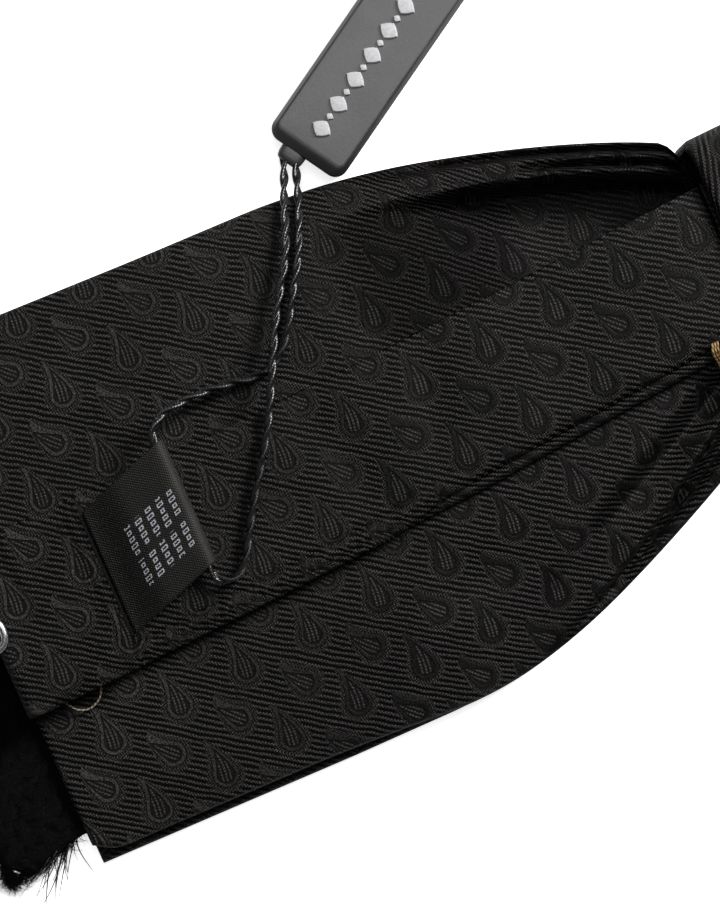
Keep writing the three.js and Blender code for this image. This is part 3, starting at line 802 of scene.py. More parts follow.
def strapBase(x):
    # where the strap lies: just over the back panel, and higher near the knot
    lift = 1 - ease(np.abs(x), knotSide + 0.7, knotSide + 28.7)
    return wingBack(x) + 0.3 + 0.9 * lift


def pleats(x, y, low, high):
    # how far the back sinks: ridges and grooves along both long edges that run together as they
    # leave the knot, and a deep pocket between the upper ridges and the strap
    far = np.abs(x)
    fromLow, fromHigh = y - low, high - y
    near = 1 - 0.86 * ease(far, 13, 53)
    sink = 2.6 * hump(fromLow, 8.7, 1.7) * (1 - ease(far, 20, 50))
    for depth, at, width, fades in lowerFolds:
        sink = sink + depth * hump(fromLow, at * near, width) * (1 - ease(far, *fades))
    for depth, (fromKnot, wide), (up, tall) in dimples:
        sink = sink + depth * hump(far, fromKnot, wide) * hump(y, up, tall)
    for depth, at, width, fades in upperFolds:
        sink = sink + depth * hump(fromHigh, at, width) * (1 - ease(far, *fades))
    pocket = ease(fromHigh, 4.2, 6.4) * ease(y, 3.0, 9.0) * (1 - ease(far, 30, 62))
    # the folds start only where the cloth leaves the knot's hold
    return (sink + wings["pocketDepth"] * pocket) * ease(far, knotSide - 3, knotSide + 2)


def wingPlan(lowEdge, highEdge):
    # stations along the bow, crowded at both open ends, by places across
    inner = np.linspace(-wingReach + 1, wingReach - 1, wings["stations"])
    tip = wingReach - np.array([0, 0.08, 0.25, 0.5, 0.75])
    x = np.concatenate([-tip, inner, tip[::-1]])
    low, high = -lowEdge(x), highEdge(x)
    y = betweenEdges(low, high, wings["across"], 0.5)
    return np.broadcast_to(x[:, None], y.shape), y, low[:, None], high[:, None]


def backHeights(x, y, low, high):
    # the back panel's faces: its crown, lower along the rims by the fourth power of the way out,
    # less the pleats and the ripples
    out = np.abs(2 * (y - low) / (high - low) - 1)
    base = blendOf(wingBack(x), wingRim(x), out**4)
    sink = pleats(x, y, low, high)
    top = base - sink - np.abs(ripple(x, y, wings["rippleHeight"])) * ease(np.abs(x), 20, 40)
    bottom = np.minimum(base - silkDepth(x), top - 0.75)
    return top, bottom


def cushioned(x, y, low, high, top, bottom):
    # the turned edge: both faces meet in a half round along the edges and the open ends
    middle, half = (top + bottom) / 2, (top - bottom) / 2
    half = half * roundOff(np.minimum(y - low, high - y), wings["edgeRound"], 0.14)
    half = half * roundOff(wingReach - np.abs(x), wings["edgeRound"], 0.25)
    return middle + half, middle - half


def cornered(edge, shorter):
    # the back panel's long edge lies a little inside the front's, and its corners are eased
    def shaped(x):
        # the edge less an even ease, and less two squares of another at the corner
        far = np.abs(x)
        return edge(x) - shorter * ease(far, 55, 85) - 2.0 * ease(far, wingReach - 5, wingReach + 1.2) ** 2
    return shaped


silk = silkMaterial("jacquardSilk")
wool = woolMaterial("brushedWool")
strand = strandMaterial("darkThread", (0.030, 0.028, 0.027))

x, y, low, high = wingPlan(cornered(lowerEdge, 1.3), cornered(upperEdge, 0.3))
top, bottom = cushioned(x, y, low, high, *backHeights(x, y, low, high))
backPanel = slab("backPanel", x, y, top, bottom)


def laidFlat(y, top):
    # the cloth's own map over its upper face: x as it lies, and the way across measured over folds
    step = np.hypot(np.diff(y, axis=1), np.diff(top, axis=1))
    way = np.concatenate([np.zeros((len(y), 1)), np.cumsum(step, 1)], 1)
    middle = np.abs(y).argmin(1)
    rows = np.arange(len(y))
    return way - way[rows, middle][:, None] + y[rows, middle][:, None]


def clothMap(piece, x, across):
    # repeats the upper face's map on the underside, so the pattern has no seam that shows
    x, across = np.broadcast_arrays(x, across)
    u = np.concatenate([x, x[:, ::-1]], 1).ravel()
    v = np.concatenate([across, across[:, ::-1]], 1).ravel()
    corner = np.empty(len(piece.data.loops), np.int32)
    piece.data.loops.foreach_get("vertex_index", corner)
    uv = np.stack([u[corner], v[corner]], 1).astype(np.float32)
    piece.data.uv_layers["cloth"].data.foreach_set("uv", uv.ravel())


clothMap(backPanel, x, laidFlat(y, top))
fit(backPanel, silk, "bow", ["wing_back_panel"])

x, y, low, high = wingPlan(lowerEdge, upperEdge)
underBack = backHeights(x, y, low, high)[1]
folds = sum(depth * hump(y, at, width) for depth, at, width in frontFolds)
folds = folds * (1 - ease(np.abs(x), 16, 44)) * ease(np.abs(x), knotSide - 2, knotSide + 3)
frontTop = np.minimum(wingFront(x) + silkDepth(x), underBack - 0.3)
frontBottom = np.minimum(wingFront(x) + folds + np.abs(ripple(x, y, 0.12)), frontTop - 0.45)
top, bottom = cushioned(x, y, low, high, frontTop, frontBottom)
frontPanel = slab("frontPanel", x, y, top, bottom)
clothMap(frontPanel, x, laidFlat(y, bottom))
fit(frontPanel, silk, "bow", ["wing_front_panel"])
print("wings: pleated back panel and front panel")


fringe = {
    "start": 30.0,
    "overhang": 11.9,
    "hairs": 6800,
    "hairLength": (0.7, 2.3),
    "hairRadius": 0.04,
    "threads": 44,
}


def padLow(far):
    # inside the silk it keeps clear of the lower edge; past it the bare pad fans out again
    return -(lowerEdge(far) - 2.6 - 1.9 * ease(far, wingReach - 12, wingReach)
             + 2.3 * np.clip((far - wingReach - 1) / 8.5, 0, 1))


def interlining(name, side):
    # a soft pad between the panels that swells once it is past the silk, with a ragged end
    steps, across = 120, 64
    s = np.linspace(0, 1, steps)
    y01 = spread(across)
    endAt = (wingReach + fringe["overhang"] + 0.5 * np.sin(y01 * 23 + side) + 0.35 * np.sin(y01 * 61)
             + 0.2 * np.sin(y01 * 131 + 2) - 2.3 * (1 - ease(y01, 0.0, 0.055)))
    far = fringe["start"] + (endAt[None, :] - fringe["start"]) * s[:, None]
    low, high = padLow(far), upperEdge(far) - 2.6
    y = low + (high - low) * y01
    bare = ease(far, wingReach - 0.3, wingReach + 1.2)
    panelBottom = backHeights(far, y, -lowerEdge(far), upperEdge(far))[1]
    panelTop = np.minimum(wingFront(far) + silkDepth(far), panelBottom - 0.3)
    tuft = 0.35 * np.sin(far * 2.1 + y * 0.9) * np.sin(y * 1.7 - far) + 0.25 * np.sin(far * 4.3 - y * 3.1)
    top = blendOf(panelBottom - 0.12, 2.9 + 0.8 * tuft, bare)
    bottom = blendOf(panelTop + 0.12, 0.35 + 0.2 * np.abs(tuft), bare)
    top = np.maximum(top, bottom + 0.2)
    middle, half = (top + bottom) / 2, (top - bottom) / 2
    half = half * roundOff(np.minimum(y - low, high - y), 1.4, 0.2) * roundOff(endAt[None, :] - far, 1.6, 0.2)
    piece = slab(f"{name}Interlining", side * far, y, middle + half, middle - half)
    return fit(piece, wool, "bow", [f"{name}_interlining"])


def fringeHairs(name, side):
    # fine hairs that stand off the pad's bare end and droop, three-sided and drawn to a point
    count = fringe["hairs"]
    span = chance.uniform(-1, 1, count)
    depth = chance.uniform(0.0, 1.0, count) ** 0.7
    far = wingReach + 0.4 + (fringe["overhang"] - 0.6) * depth
    low, high = padLow(far) + 0.1, upperEdge(far) - 2.9
    y = low + (high - low) * (span + 1) / 2
    edgeShare = chance.uniform(0, 1, count) < 0.42          # many grow from the very end
    far = np.where(edgeShare, wingReach + fringe["overhang"] - chance.uniform(0, 0.9, count), far)
    cornerShare = chance.uniform(0, 1, count) < 0.2
    y = np.where(cornerShare, low + chance.uniform(0, 1.2, count), y)
    atRim = edgeShare | cornerShare
    z = np.where(atRim, chance.uniform(0.6, 2.6, count), 2.6 + chance.uniform(-0.2, 0.3, count))
    lengths = chance.uniform(*fringe["hairLength"], count)
    heading = chance.normal(0, 0.75, count) + np.where(cornerShare, -1.1, 0)
    lift = np.where(atRim, chance.normal(0.0, 0.22, count), chance.uniform(0.05, 0.55, count))
    t = np.linspace(0, 1, 5)
    curl = chance.normal(0, 0.5, count)
    angle = heading[:, None] + curl[:, None] * t
    path = np.stack([
        side * (far[:, None] + lengths[:, None] * t * np.cos(angle)),
        y[:, None] + lengths[:, None] * t * np.sin(angle),
        np.maximum(z[:, None] + lengths[:, None] * (lift[:, None] * t - 0.35 * t * t), 0.08),
    ], -1)
    radii = fringe["hairRadius"] * (1.15 - t)[None, :] * chance.uniform(0.7, 1.4, count)[:, None]
    return fit(shells(f"{name}Fringe", tubes(path, radii, 4), sharp=180), wool, "bow")


def pulledThreads(name, side):
    # longer yarns drawn out of the weave at the lower corner, each a slack curve of its own
    count = fringe["threads"]
    t = np.linspace(0, 1, 14)
    startX = wingReach + chance.uniform(0.9, 5.5, count)
    startY = padLow(startX) + chance.uniform(0.2, 1.5, count)
    lengths = chance.uniform(3.0, 9.0, count)
    heading = chance.normal(-0.78, 0.2, count)
    bendBy = chance.normal(0, 0.4, count)
    angle = heading[:, None] + bendBy[:, None] * t
    path = np.stack([
        side * (startX[:, None] + np.cumsum(np.cos(angle), 1) * lengths[:, None] / 14),
        startY[:, None] + np.cumsum(np.sin(angle), 1) * lengths[:, None] / 14,
        np.maximum(1.9 + chance.uniform(-0.6, 0.6, count)[:, None] - 1.6 * t**1.5
                   + 0.25 * np.sin(5 * t + heading[:, None] * 9), 0.1),
    ], -1)
    radii = 0.09 * chance.uniform(0.6, 1.3, count)[:, None] * (1.1 - 0.75 * t)[None, :]
    return fit(shells(f"{name}PulledThreads", tubes(path, radii, 6), sharp=180), strand, "bow")


for sideName, side in (("left", -1), ("right", 1)):
    pad, hairs = interlining(sideName, side), fringeHairs(sideName, side)
    pulled = pulledThreads(sideName, side)
print("interlining: two pads, brushed fringe and pulled threads")


knot = {
    "wall": 1.4,
    "corner": 4.0,
    "crown": 0.25,           # how much fuller it is in the middle of its width
    "sides": 220,
}


def knotWrap():
    # a band round the waist: its wall's section is carried round a rounded rectangle, with soft
    # creases that run round with it
    half, reach, depth = knotHigh
    outline = roundedRectangle(reach - knot["corner"], depth / 2 - knot["corner"], knot["corner"],
                               knot["sides"] // 8) + np.array([0, depth / 2])
    outline = evenly(np.concatenate([outline, outline[:1]]), knot["sides"] + 1)[:-1]
    out = outwardOf(outline)
    around = fullTurn(knot["sides"])
    t = np.linspace(-1, 1, 56)
    outerX, innerX = half * np.sin(t * math.pi / 2), half * np.sin(t[::-1] * math.pi / 2)
    outerX, innerX = outerX[:, None], innerX[::2, None]
    creases = (0.55 * hump(outerX, -5.2 + 1.3 * np.sin(around + 0.5), 0.7)
               + 0.5 * hump(outerX, 4.3 + 1.6 * np.cos(around), 0.8)
               + 0.35 * hump(outerX, -0.4 + 1.0 * np.sin(2 * around), 0.5))
    onTable = ease(outline[:, 1], 0.0, 2.5)
    roundRim = 0.7 * (1 - roundOff(half - np.abs(outerX), 0.8, 0.0))
    outward = -roundRim - creases * (0.35 + 0.65 * onTable) - 0.02
    outward = outward + knot["crown"] * (1 - (outerX / half) ** 2) * onTable
    inward = np.full((len(innerX), knot["sides"]), -knot["wall"]) + 0.3 * (np.abs(innerX) / half) ** 6

    def ring(x, by):
        # the outline moved outwards, kept above the table
        y = outline[:, 0] + out[:, 0] * by
        z = outline[:, 1] + out[:, 1] * by
        return np.stack([np.broadcast_to(x, y.shape), y, np.maximum(z, 0.0)], -1)
    rings = np.concatenate([ring(outerX, outward), ring(innerX, inward)])
    return shells("knotWrap", rings[None], closedAlong=True, startAt=-half - 6.3)


knotPiece = fit(knotWrap(), silkMaterial("knotSilk", turn=38.0, shade=0.85), "bow", ["knot_wrap"])


def stitches(name, start, end, count, reach, radius, slant, lift, body, stands):
    # short threads in a row, each a low hump from one hole to the next
    start, end = np.asarray(start, float), np.asarray(end, float)
    at = (np.arange(count) + 0.5) / count
    middle = start + (end - start) * at[:, None]
    aim = (end - start) / np.linalg.norm(end - start)
    aside = np.array([-aim[1], aim[0], 0])
    heading = aim * math.cos(slant) + aside * math.sin(slant)
    jitter = chance.normal(0, 0.06, (count, 1)) * aside
    t = np.linspace(-1, 1, 9)
    path = (middle[:, None] + jitter[:, None] + heading * (t * reach / 2)[None, :, None]
            + np.array([0, 0, 1.0]) * (lift * (1 - t**2) - 0.25 * lift)[None, :, None])
    radii = radius * np.sqrt(np.clip(1 - np.abs(t) ** 5, 0.12, 1))
    fit(shells(name, tubes(path, radii[None], 8), sharp=180), strand, body, [stands])


seamLow, seamHigh = corners("knot_seam_stitch")
seamZ = knotHigh[2] + 0.16
stitches("knotSeamStitches", (0.3, seamLow[1] + 1, seamZ), (0.2, seamHigh[1] - 1, seamZ), 15, 1.7, 0.2, 0.5,
         0.1, "bow", "knot_seam_stitch")
print("knot: creased wrap and hand-sewn seam")


strap = {
    "rise": 1.9,
    "drop": 5.3,
    "width": 19.8,
    "flare": 3.6,
    "start": 12.45,
    "plyEnd": 111.6,
    "topThick": 1.55,
    "underThick": 0.62,
    "foldThick": 1.0,
}


def strapEdges(x, lowInset=0.05, highInset=0.05):
    # the strap's lower and upper edge: its middle falls by a quarter sine from the knot to the end,
    # and its width grows evenly, less an inset at each edge
    along = np.clip((np.abs(x) - knotSide) / (strapReach - knotSide), 0, 1)
    middle = strap["rise"] - strap["drop"] * np.sin(along * math.pi / 2)
    half = (strap["width"] + strap["flare"] * along) / 2
    return middle - half + lowInset, middle + half - highInset


def strapPly(name, rise, thick, lowInset, highInset, shape, stands):
    # a ply of the strap on its base line; shape gives the push on its upper face
    x = np.concatenate([[-strap["plyEnd"], -strap["plyEnd"] + 0.15],
                        np.linspace(-strap["plyEnd"] + 0.4, -strap["start"], 230)])
    low, high = strapEdges(x, lowInset(x), highInset)
    path = np.stack([x, strapBase(x) + rise + thick / 2], 1)
    y = betweenEdges(low, high, 64)
    over = shape(x[:, None], y, low[:, None], high[:, None])
    piece = band(name, path, low, high, thick, 64, over=over, edge=0.55)
    clothMap(piece, x[:, None], laidFlat(y, path[:, 1:] + over))
    fit(piece, silk, stands=stands)
    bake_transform(piece)
    return piece


def topShape(x, y, low, high):
    # crowned across, dished in two soft valleys, and puckered along the hand-sewn lower edge
    inside = np.minimum(y - low, high - y)
    crown = -0.33 * (1 - ease(inside, 0, 3.0)) - 0.35 * (1 - ease(y - low, 0, 1.2)) * (1 - ease(-x, 52, 66))
    valleys = -0.38 * hump(x + 0.25 * y, -66, 3.2) - 0.3 * hump(x - 0.2 * y, -53, 2.6) - 0.2 * hump(x, -36, 5)
    sewn = ease(-x, 50, 66) * (1 - ease(-x, 98, 101))
    fromLow = y - low
    pucker = sewn * (0.5 * hump(fromLow, 1.4, 0.6) * (0.55 + 0.45 * np.sin(x * 2.3 + 0.5 * np.sin(x)))
                     - 0.5 * hump(fromLow, 2.7, 0.5) * (0.65 + 0.35 * np.sin(x * 2.3 + 1.6)))
    return crown + valleys + pucker + ripple(x * 1.4, y * 1.2, 0.1)


def lowerStrip(x):
    # near the knot the under ply shows as a narrow strip below the upper one
    return 1.45 * (1 - ease(-x, 50, 66)) + 0.1


def underInset(x):
    # past the strip the under ply draws in below the upper one
    return 0.25 * ease(-x, 50, 66)


def underShape(x, y, low, high):
    # the strip is a low roll, which flattens where the upper ply covers it
    return 0.95 * hump(y - low, 0.72, 0.55) * (1 - ease(-x, 52, 68))


shortTop = strapPly("shortStrapTop", 0.82, strap["topThick"], lowerStrip, 0.0, topShape,
                    ["short_top_ply", "short_strap_interlining"])
shortUnder = strapPly("shortStrapUnder", 0.0, strap["underThick"], underInset, 0.8, underShape,
                      ["short_under_ply"])

# the end fold stands up round the strap's end and lies back over it
foldRise = 3.8
foldX = -(strapReach - 0.4)
foldTop = strapBase(strapReach) + foldRise
backX = np.linspace(foldX + 1.2, -99.0, 60)
foldPath = evenly(np.concatenate([
    [[foldX, strapBase(strapReach)], [foldX, foldTop - 1.6]],
    arc(foldX + 1, foldTop - 1, 1, 180, 90, 12),
    np.stack([backX, strapBase(backX) + foldRise], 1),
]), 110)
foldLow, foldHigh = strapEdges(foldPath[:, 0])
foldY = betweenEdges(foldLow, foldHigh, 56)
foldInside = np.minimum(foldY - foldLow[:, None], foldHigh[:, None] - foldY)
hem = foldPath[:, :1]
foldSag = ease(hem, foldX + 3, foldX + 6)
foldShape = foldSag * (-0.75 * (1 - ease(foldInside, 0, 2.2)) + 0.15 * hump(hem, -99.8, 0.7)
                       - 0.12 * hump(hem, -101.2, 0.6) + ripple(hem * 1.7, foldY * 1.3, 0.12)
                       - 0.3 * hump(hem + 0.2 * foldY, -107.5, 2.2))
shortFold = band("shortEndFold", foldPath, foldLow, foldHigh, strap["foldThick"], 56,
                 over=foldShape, under=foldShape * 0.9)
foldWay = wayAlong(foldPath)
clothMap(shortFold, (foldWay - foldWay[-1] - 99.0)[:, None], foldY)
fit(shortFold, silk, "short_side", ["short_end_fold"])

seamX = -100.9
seamZ = strapBase(seamX) + foldRise + 0.23
seamFrom, seamTo = strapEdges(seamX, 1.2, 1.2)
stitches("shortFoldStitches", (seamX, seamFrom, seamZ), (seamX, seamTo, seamZ), 10, 0.9, 0.12, 0.1, 0.02,
         "short_side", "short_fold_stitch")

# a gold tack holds the strap's lower edge at the knot, and a pale end of thread is left at its
# far corner
tackX = -18.3
tackY = strapEdges(tackX, 0.0)[0]
tackPath = [throughPoints([[tackX + aside + x, tackY + y, z] for x, y, z in (
    (0, 2.2, 13.3), (-0.5, 0.9, 13.7), (-0.2, -0.4, 12.4), (0, -1.4, 11.0))], 24) for aside in (-0.35, 0.0, 0.35)]
gold = strandMaterial("goldThread", (0.26, 0.155, 0.05), 0.7, 0.3, 0.5, 0.04)
fit(shells("strapTack", tubes(tackPath, 0.17, 8), sharp=180), gold, "bow", ["strap_tack"])

looseY = sum(corners("loose_thread"))[1] / 2
loosePath = throughPoints([[x, looseY + y, z] for x, y, z in (
    (-110.4, 0.9, 5.6), (-109.4, -0.4, 5.5), (-108.0, -0.9, 5.4), (-106.3, -0.2, 5.5), (-105.2, 1.6, 5.8))], 40)
pale = strandMaterial("paleThread", (0.30, 0.25, 0.18), 0.6, 0.4, 0.5, 0.03)
fit(shells("looseThread", tubes([loosePath], 0.13, 8), sharp=180), pale, "short_side",
    ["loose_thread"])
print("neck strap, short side: plies, end fold, stitches, tack and loose thread")


steel = steelMaterial("drawnSteel")
wire = {"radius": 0.5, "hookBar": -113.0, "hookReach": 8.6, "hookCurl": 1.9, "halfHook": 2.1, "halfEye": 3.0}

hookLow, hookHigh = corners("hook")
hookMid = (hookLow[1] + hookHigh[1]) / 2
barX, barZ, curl, halfHook = wire["hookBar"], hookLow[2] + wire["radius"], wire["hookCurl"], wire["halfHook"]
legOut = barX - wire["hookReach"] + curl
hookTurn = arc(legOut, barZ + curl, curl, -90, -270, 12)
hookSide = np.concatenate([
    [[barX, 0.15, barZ], [barX, halfHook - 0.8, barZ], [barX - 0.25, halfHook - 0.25, barZ],
     [barX - 0.9, halfHook, barZ], [barX - 3.4, halfHook, barZ]],
    np.stack([hookTurn[:, 0], np.full(12, halfHook), hookTurn[:, 1]], 1),
    [[barX - 4.0, halfHook, barZ + 2 * curl], [barX - 2.2, halfHook, barZ + 2 * curl],
     [barX - 1.0, halfHook * 0.86, barZ + 2 * curl], [barX - 0.35, halfHook * 0.45, barZ + 2 * curl]],
])
hookOther = hookSide[::-1] * np.array([1, -1, 1])
hookWay = np.concatenate([hookSide, [[barX - 0.2, 0, barZ + 2 * curl]], hookOther])
hookWay = hookWay + np.array([0, hookMid, 0])
hookRings = tubes([evenly(throughPoints(hookWay, 700), 240)], wire["radius"], 16, (0.55, 0.6, -0.58))
fit(shells("wireHook", hookRings, sharp=60), steel, "wire_hook", ["hook"])

eyeLow, eyeHigh = corners("eye")
eyeMid, eyeZ = (eyeLow[1] + eyeHigh[1]) / 2, (eyeLow[2] + eyeHigh[2]) / 2
eyeBarX, eyeTipX, halfEye = eyeLow[0] + wire["radius"], eyeHigh[0] - wire["radius"], wire["halfEye"]
eyeTurn = arc(eyeTipX - halfEye, 0, halfEye, 90, -90, 24)
eyeWay = np.concatenate([
    [[eyeBarX, 0.15], [eyeBarX, halfEye - 0.8], [eyeBarX + 0.25, halfEye - 0.25], [eyeBarX + 0.9, halfEye]],
    eyeTurn,
    [[eyeBarX + 0.9, -halfEye], [eyeBarX + 0.25, 0.25 - halfEye], [eyeBarX, 0.8 - halfEye], [eyeBarX, -0.15]],
])
eyeWay = np.concatenate([eyeWay, np.full((len(eyeWay), 1), eyeZ)], 1) + np.array([0, eyeMid, 0])
eyeRings = tubes([evenly(throughPoints(eyeWay, 500), 180)], wire["radius"], 16, (0, 0, 1))
fit(shells("wireEye", eyeRings, sharp=60), steel, "wire_eye", ["eye"])
print("hook and eye: bent round wire")


longSide = {
    "thick": 2.0,
    "outer": 108.0,
    "inner": 25.0,
    "end": 100.0,
    "lowerSpacing": 3.2,
    "upperSpacing": 4.6,
}


def firstRun(x):
    # the middle of the run that lies on the back panel
    return strapBase(x) + longSide["thick"] / 2


outer, inner, lastX = longSide["outer"], longSide["inner"], longSide["end"] - 3.2
runSlope = float((firstRun(outer) - firstRun(inner)) / (outer - inner))


def secondRun(x):
    # straight over the first run, one spacing above its outer end
    return firstRun(outer) + longSide["lowerSpacing"] + runSlope * (x - outer)


def thirdRun(x):
    # beside the second run, one spacing higher
    return secondRun(x) + longSide["upperSpacing"]


def level(height, start, end, count=60):
    # points between two places along, each at its run's height
    x = np.linspace(start, end, count)
    return np.stack([x, height(x)], 1)


longPath = evenly(np.concatenate([
    level(firstRun, strap["start"], outer - 1.5),
    arc(outer, firstRun(outer) + longSide["lowerSpacing"] / 2, longSide["lowerSpacing"] / 2, -85, 85, 24),
    level(secondRun, outer - 1.5, inner + 1.5),
    arc(inner, secondRun(inner) + longSide["upperSpacing"] / 2, longSide["upperSpacing"] / 2, 265, 95, 24),
    level(thirdRun, inner + 1.5, lastX),
]), 620)
longWay = wayAlong(longPath)
longLow = np.full(len(longPath), strap["rise"] - strap["width"] / 2)
longHigh = longLow + strap["width"]
longY = betweenEdges(longLow, longHigh, 48)
longInside = np.minimum(longY - longLow[:, None], longHigh[:, None] - longY)
drawnIn = -0.42 * (1 - ease(longInside, 0, 1.8)) + 0.1 * hump(longInside, 2.3, 0.5)
sewing = drawnIn + 0.08 * np.sin(longWay * 2.2)[:, None] * hump(longInside, 1.2, 0.8)
longStrap = band("longStrap", longPath, longLow, longHigh, longSide["thick"], 48, over=sewing, under=-sewing,
                 edge=0.8)
clothMap(longStrap, longWay[:, None] + strap["start"], longY)
fit(longStrap, silk, stands=["long_strap"])
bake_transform(longStrap)

halfThick = longSide["thick"] / 2
hemX, tipX = 84.0, longSide["end"] - 0.4
tipZ = thirdRun(longSide["end"]) + halfThick + 0.7
hemPath = evenly(np.concatenate([
    level(thirdRun, hemX, tipX - 1.2, 50) + np.array([0, halfThick + 0.7]),
    arc(tipX - 1, tipZ - 1, 1, 90, 0, 12),
    [[tipX, thirdRun(longSide["end"]) - halfThick]],
]), 100)
hemLow, hemHigh = np.full(100, longLow[0] + 0.05), np.full(100, longHigh[0] - 0.05)
hemY = betweenEdges(hemLow, hemHigh, 48)
hemInside = np.minimum(hemY - hemLow[:, None], hemHigh[:, None] - hemY)
along = hemPath[:, :1]
hemShape = (1 - ease(along, 93, 97)) * (-0.3 * (1 - ease(hemInside, 0, 1.8)) - 0.22 * hump(along, 85.6, 0.5)
                                        + 0.15 * hump(along, 84.5, 0.4))
longFold = band("longEndFold", hemPath, hemLow, hemHigh, 0.8, 48, over=hemShape, under=hemShape * 0.4)
clothMap(longFold, wayAlong(hemPath)[:, None] + hemX, hemY)
fit(longFold, silk, "long_side", ["long_end_fold"])
seamX = 85.6
seamZ = thirdRun(seamX) + halfThick + 1.1
stitches("longFoldStitches", (seamX, longLow[0] + 1.2, seamZ), (seamX, longHigh[0] - 1.2, seamZ), 9, 1.1, 0.16,
         0.1, 0.05, "long_side", "long_fold_stitch")
print("neck strap, long side: one band folded in three, with its end fold")


slider = {"at": 52.0, "length": 15.0, "width": 25.8, "bar": 2.4, "plate": 1.2, "corner": 2.2}


def sliderSeat(points):
    # from the slider's own axes to the third run, turned by the run's slope
    tilt = math.atan(runSlope)
    x, y, z = points[..., 0], points[..., 1], points[..., 2]
    return np.stack([slider["at"] + x * math.cos(tilt) - z * math.sin(tilt), strap["rise"] + y,
                     thirdRun(slider["at"]) + x * math.sin(tilt) + z * math.cos(tilt)], -1)


def sliderRings():
    # a frame and a lower crossbar, each a rounded bar whose section is a squared-off ellipse; the
    # frame's corners are quarter turns, and the crossbar dips between its two ends
    bar, plate, corner = slider["bar"], slider["plate"], slider["corner"]
    outX, outY = (slider["length"] - bar) / 2, (slider["width"] - bar) / 2
    lift = longSide["thick"] / 2 + 0.6 + plate / 2
    angle = fullTurn(16)
    sideways = squarer(angle, 5) * np.cos(angle) * bar / 2
    upwards = squarer(angle, 5) * np.sin(angle) * plate / 2
    outline = roundedRectangle(outX - corner, outY - corner, corner, 10)
    edge = np.empty((len(outline), 16, 3))
    edge[..., :2] = outline[:, None] + outwardOf(outline)[:, None] * sideways[None, :, None]
    edge[..., 2] = lift + upwards
    s = np.linspace(-1, 1, 21)[:, None]
    cross = np.empty((21, 16, 3))
    cross[..., 0] = sideways
    cross[..., 1] = s * (outY + 0.2)
    cross[..., 2] = lift - 2 * lift * ease(1 - np.abs(s), 0.02, 0.17) + upwards
    return sliderSeat(edge)[None], sliderSeat(cross)[None]


frameRings, crossRings = sliderRings()
fit(shells("sliderFrame", frameRings, closedAlong=True, sharp=40), steel, "adjuster", ["slider"])
fit(shells("sliderBar", crossRings, sharp=40), steel, "adjuster")
print("slider: frame and crossbar")


label = {
    "seam": -98.4,
    "reach": 13.0,
    "lean": 4.4,
    "width": 16.6,
    "base": -10.6,
    "thick": 0.34,
    "turn": 1.05,
    "rowsFromFold": (2.1, 1.65, 5),     # first row, row step, how many
    "rowSpan": (3.4, 11.2),
    "cloth": (0.0036, 0.0032, 0.0028),
    "print": (0.36, 0.37, 0.40),
    "threadPitch": 0.36,
    "tickPitch": 0.86,
}


def lowLeaf(x):
    # the under leaf lies on the end fold
    return strapBase(x) + 2.4 + 0.5


def highLeaf(x):
    # the upper leaf rises from its seam to clear the cord's turn
    return lowLeaf(x) + blendOf(0.7, 2 * label["turn"], ease(x, label["seam"], label["seam"] + 6))


turnX = label["seam"] + label["reach"] - label["turn"] - 0.2
labelPath = evenly(np.concatenate([
    level(lowLeaf, label["seam"], turnX, 40),
    arc(turnX, lowLeaf(turnX) + label["turn"], label["turn"], -80, 80, 24),
    level(highLeaf, turnX, label["seam"], 40),
]), 150)
labelWay = wayAlong(labelPath)
carried = label["base"] + label["lean"] * (labelPath[:, 0] - label["seam"]) / label["reach"]
labelPiece = band("careLabel", labelPath, carried, carried + label["width"], label["thick"], 60, edge=0.17,
                  endRound=0.17)
clothMap(labelPiece, (labelWay - labelWay[len(labelWay) // 2])[:, None], label["width"] * spread(60)[None])


def wovenGrid(u, v):
    # bright where a warp and a weft crest meet: the product of two cosines
    return (u.wave(label["threadPitch"]) * v.wave(label["threadPitch"])).step(-0.2, 0.9)


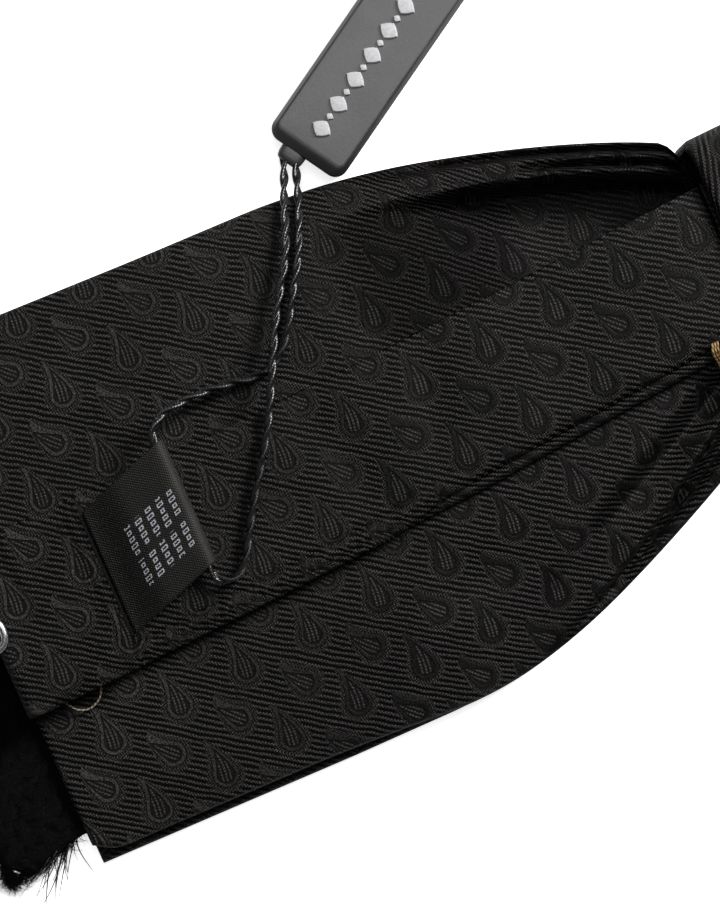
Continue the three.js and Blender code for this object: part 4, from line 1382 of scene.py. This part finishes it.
def printedRows(u, v):
    # rows of hollow blocks, all of one width and of random height, with a gap in mid row: a block
    # is inside its pitch, below its height and not inside its hollow
    first, step, count = label["rowsFromFold"]
    rowPlace = (u - first) / step
    row = rowPlace.by("ROUND")
    offRow = ((rowPlace - row) * step).by("ABSOLUTE")
    inRows = row.step(-0.6, -0.4) * row.step(count - 0.4, count - 0.6)
    tickPlace = (v + row * 0.31) / label["tickPitch"]
    onTick = tickPlace.by("FRACT")
    tall = ((tickPlace.by("FLOOR") + row * 3.7) * 0.618).by("FRACT") * 0.22 + 0.27
    inTick = onTick.step(0.05, 0.14) * onTick.step(0.74, 0.65)
    low, high = label["rowSpan"]
    gap = (v - ((low + high) / 2 - 0.2)).by("ABSOLUTE").step(0.35, 0.5)
    inSpan = v.step(low - 0.1, low + 0.1) * v.step(high + 0.1, high - 0.1) * gap
    hollow = (onTick - 0.40).by("ABSOLUTE").by("LESS_THAN", 0.14) * offRow.by("LESS_THAN", tall - 0.16)
    return inRows * inTick * offRow.by("LESS_THAN", tall) * inSpan * (1.0 - hollow)


satin = Look("labelSatin", 0.20, 0.42)
u, v = satin.lay()
weaveLight = wovenGrid(u, v)
# the satin catches the light where it turns over the cord
nearFold = (u + 0.4).by("ABSOLUTE").step(3.4, 0.8, 0.13, 1.0)
hazy = nearFold * satin.noise(0.25, 3).step(0.3, 0.7, 0.5, 1.0)
cloth = satin.mix(weaveLight * hazy, dimmed(label["cloth"], 0.5), dimmed(label["cloth"], 17))
printed = printedRows(u, v) * (weaveLight * 0.35 + 0.65)
satin.set("Base Color", satin.mix(printed, cloth, label["print"]))
satin.set("Roughness", weaveLight.step(0.0, 1.0, 0.58, 0.42))
fit(labelPiece, satin.bump(weaveLight + printed * 0.3, 0.05), "label", ["care_label"])
print("care label: folded satin tape with printed marks")


def bindingMaterial():
    # rows of waxed thread wound tightly round the waist
    look = Look("waistBinding", 0.3, 0.6)
    along = look.lay(False)[0]
    wound, fuzz = along.wave(0.6).step(-0.8, 1.0), look.noise(3.0, 4, 0.7)
    look.set("Base Color", look.mix(wound * fuzz, (0.004, 0.004, 0.004), (0.05, 0.048, 0.046)))
    return look.bump(wound + fuzz * 0.4, 0.15)


def tailMaterial():
    # the label's plain woven tail, hidden under the end fold
    look = Look("labelTail", 0.4, 0.5)
    share = wovenGrid(*look.lay(False))
    look.set("Base Color", look.mix(share, dimmed(label["cloth"], 0.55), dimmed(label["cloth"], 2.3)))
    return look.bump(share, 0.05)


for node, material in (("strap_centre", silkMaterial("innerSilk", onCloth=False)),
                       ("knot_lining", woolMaterial("innerWool", onCloth=False)),
                       ("waist_binding", bindingMaterial()), ("label_tail", tailMaterial())):
    fit(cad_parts[node], material)
print("frame parts dressed:", ", ".join(sorted(n for n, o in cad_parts.items() if not o.hide_render)))
